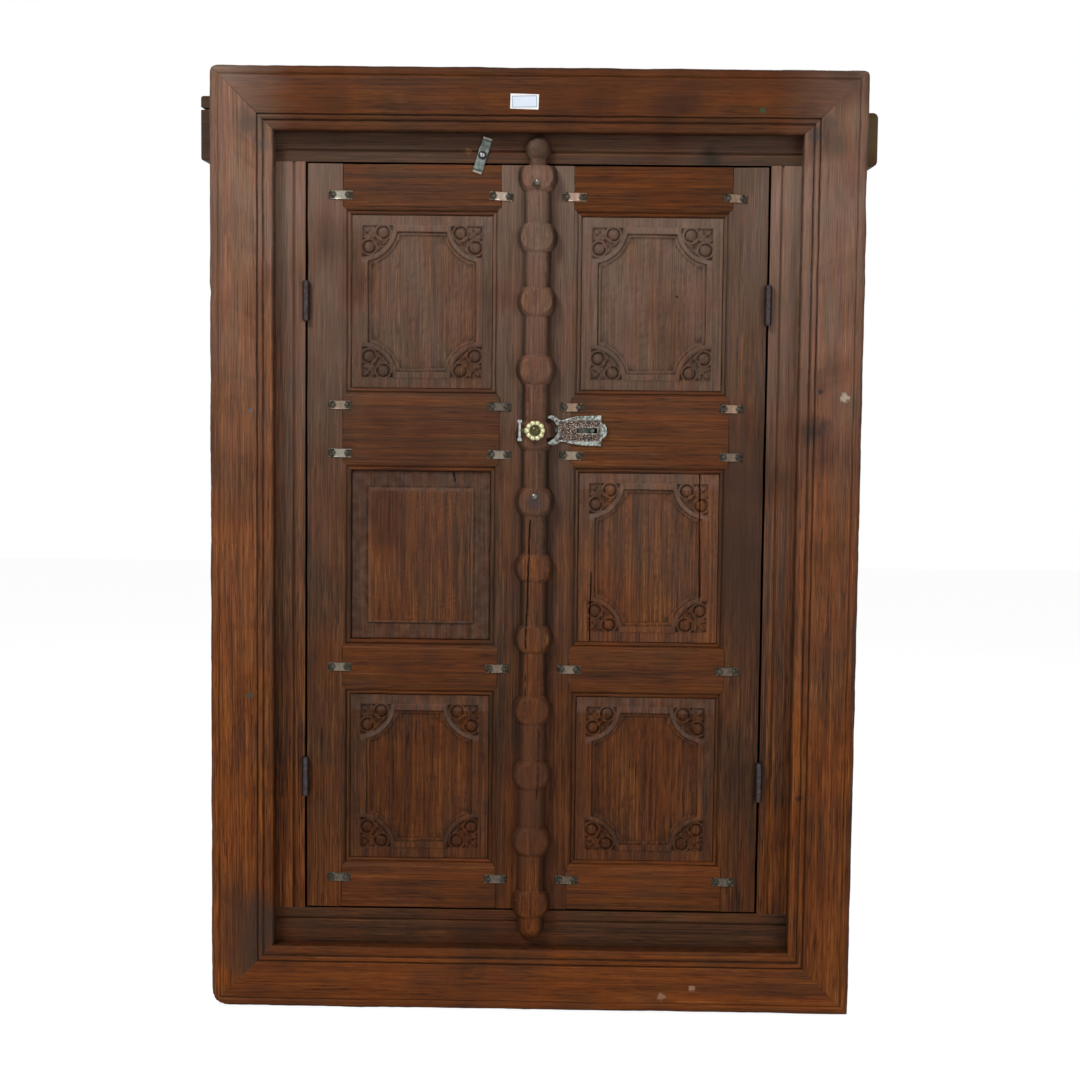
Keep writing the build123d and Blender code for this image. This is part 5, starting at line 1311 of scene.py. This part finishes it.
def label_paper():
    """White label paper with a thin printed border and nothing written on it."""
    made, tree, shader = material("label_paper")
    label_x, label_z = centre("paper_label")
    place = own_place(tree)
    for links in ({"Location": (-label_x * MM, 0, -label_z * MM)}, {"Rotation": (0, LABEL_TURN, 0)}):
        place = node(tree, "ShaderNodeMapping", {"Vector": place} | links).outputs[0]
    place = node(tree, "ShaderNodeVectorMath", {0: place}, operation="ABSOLUTE").outputs[0]
    across, _, height = split(tree, place)
    beyond = [maths(tree, "SUBTRACT", value, (half - LABEL_BORDER) * MM)
              for value, half in zip((across, height), LABEL_HALF)]
    across = spread(tree, biggest(tree, *beyond), -1.4 * MM, 1.4 * MM)
    body = ramp(tree, across, (0.3, "#dfe9f6"), (0.42, "#7f93ab"), (0.58, "#7f93ab"), (0.7, "#f6f6f4"))
    connect(tree, shader, {"Base Color": body, "Roughness": 0.6})
    return made


LABEL_HALF, LABEL_TURN, LABEL_BORDER = (18.0, 9.5), math.radians(1.5), 2.6
# Wrought iron hinges, nearly black, with thin brown rust, and painted shade on their sides
iron = metal("dark_wrought_iron", "#39353a", "#575259", 5.0, 0.45, metallic=0.5, rust="#4a3934", sides=0.85)
# Zinc-plated steel of the bolt bar and hangers, gone grey-green with spots of rust
steel = metal("dull_zinc_steel", "#4c4f48", "#8d9088", 6.0, 0.38, rust="#5b4634")
# The crossbar's steel, kept bright by hands
pale_steel = metal("rubbed_steel", "#a9adb0", "#e2e5e7", 3.0, 0.3, metallic=0.6)
# Plain steel screws, dulled by handling
screw_steel = metal("old_screw_steel", "#5c5a55", "#8c8a84", 3.0, 0.35)
# The turn button's screw: a painted highlight on its head, inside a ring of old dirt and painted shade
slotted_screw = ringed("slotted_screw_head", (button_x, button_z), 2.5, "#cfd2d6", "#191614", 0.35, 0.4)
# Newer wood behind the glass, pale because no light or smoke has reached it
back_board = teak("pale_back_board", warmth=0.5, top_sheen=1.5, shade=1.9, shift=61)
cad_looks = {
    "head_beam": teak("teak_head_beam", "level", warmth=0.15, top_sheen=0.3, shade=0.82, shift=51, marks=(
        ((222, -32), 16.0, "#2b2926"), ((-90, -26), 5.0, "#7d5b3c"), ((430, 2), 40.0, "#7b6743"),
        ((-430, 2), 34.0, "#46382d"))),
    "sill_beam": teak("teak_sill_beam", "level", warmth=-0.1, top_sheen=1.5, shade=0.9, shift=52),
    "left_post": teak("teak_left_post", warmth=0.62, top_sheen=1.2, shade=0.98, shift=53, figure=1.4),
    "right_post": teak("teak_right_post", warmth=0.6, top_sheen=1.4, shade=1.04, shift=54, figure=1.4),
    "mirror_glass": old_mirror(), "backing_board": back_board, "side_glass_stops": back_board,
    "end_glass_stops": back_board, "back_screws": screw_steel, "post_hinge_screws": screw_steel,
    "left_leaf_hinge_screws": screw_steel, "right_leaf_hinge_screws": screw_steel,
    "button_screw": slotted_screw, "left_wall_hanger": steel, "right_wall_hanger": steel,
    "hinge_pins": iron, "bolt_bar": steel, "bolt_case_nails": iron, "batten_fixings": screw_steel,
    "knob_crossbar": pale_steel, "paper_label": label_paper(),
}
for side in SIDES:
    for level in ("upper", "lower"):
        for kind in ("fixed", "leaf"):
            cad_looks[f"{side}_{level}_hinge_{kind}_flap"] = iron
for name, finish in cad_looks.items():
    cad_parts[name].data.materials.clear()
    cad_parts[name].data.materials.append(finish)

# Floor, light and camera
FLOOR_HALF, FLOOR_GAP = 6.0, 0.2
FLOOR_SEEN_WHITE, FLOOR_WHITE_LEVEL = 0.8, 1.13
WORLD_LEVEL = 0.38
floor_mesh = bpy.data.meshes.new("studio_floor")
floor_corners = [(x * FLOOR_HALF, y * FLOOR_HALF, (foot - FLOOR_GAP) * MM)
                 for x, y in ((-1, -1), (1, -1), (1, 1), (-1, 1))]
floor_mesh.from_pydata(floor_corners, [], [(0, 1, 2, 3)])
placed("studio_floor", floor_mesh)
made, tree, shader = material("pale_floor")
connect(tree, shader, {"Base Color": linear("#f2f2f0"), "Roughness": 0.9})
seen = times(tree, node(tree, "ShaderNodeLightPath").outputs["Is Camera Ray"], FLOOR_SEEN_WHITE)
white = node(tree, "ShaderNodeEmission", {"Color": (1, 1, 1, 1), "Strength": FLOOR_WHITE_LEVEL})
both = node(tree, "ShaderNodeMixShader", {0: seen, 1: shader.outputs[0], 2: white.outputs[0]})
output = next(n for n in tree.nodes if n.bl_idname == "ShaderNodeOutputMaterial")
tree.links.new(both.outputs[0], output.inputs["Surface"])
floor_mesh.materials.append(made)

world = bpy.data.worlds.new("studio")
bpy.context.scene.world = world
world.use_nodes = True
tree = world.node_tree
tree.nodes.clear()
rays = node(tree, "ShaderNodeLightPath").outputs
seen = biggest(tree, rays["Is Camera Ray"], rays["Is Transmission Ray"])
level = spread(tree, seen, 0.0, 1.0, WORLD_LEVEL, 1.0)
sky = node(tree, "ShaderNodeBackground", {"Color": (1, 1, 1, 1), "Strength": level})
node(tree, "ShaderNodeOutputWorld", {"Surface": sky.outputs[0]})


def lamp(name, place, size, power):
    """A round softbox turned to the middle of the mirror."""
    data = bpy.data.lights.new(name, "AREA")
    data.shape, data.size, data.energy = "DISK", size, power
    made = placed(name, data)
    made.location = place
    made.rotation_mode = "QUATERNION"
    made.rotation_quaternion = (Vector(MIDDLE) - Vector(place)).to_track_quat("-Z", "Y")


MIDDLE = (0, 0, -0.53)
lamp("key_softbox", (-1.4, -1.8, 1.6), 0.8, 47)
lamp("fill_softbox", (1.9, -2.4, 0.2), 1.4, 16)
lamp("back_softbox", (0.6, 2.2, 1.2), 1.4, 40)

# The camera stood a little right of the middle, above it and not quite level
CAMERA_PLACE, SENSOR, LENS = (0.046, -2.6775, -0.3031), 36.0, 67.13
pitch, yaw, roll = (math.radians(v) for v in (4.866, 0.843, 0.627))
camera_data = bpy.data.cameras.new("camera")
camera_data.sensor_width, camera_data.lens = SENSOR, LENS
camera = placed("camera", camera_data)
ahead = Vector((-math.sin(yaw) * math.cos(pitch), math.cos(yaw) * math.cos(pitch), -math.sin(pitch)))
level_right = Vector((math.cos(yaw), math.sin(yaw), 0))
level_up = level_right.cross(ahead)
right = level_right * math.cos(roll) + level_up * math.sin(roll)
upward = level_up * math.cos(roll) - level_right * math.sin(roll)
turned = Matrix((right, upward, -ahead)).transposed().to_4x4()
camera.matrix_world = Matrix.Translation(CAMERA_PLACE) @ turned
bpy.context.scene.camera = camera
bpy.context.scene.view_settings.view_transform = "Standard"

bpy.context.view_layer.update()
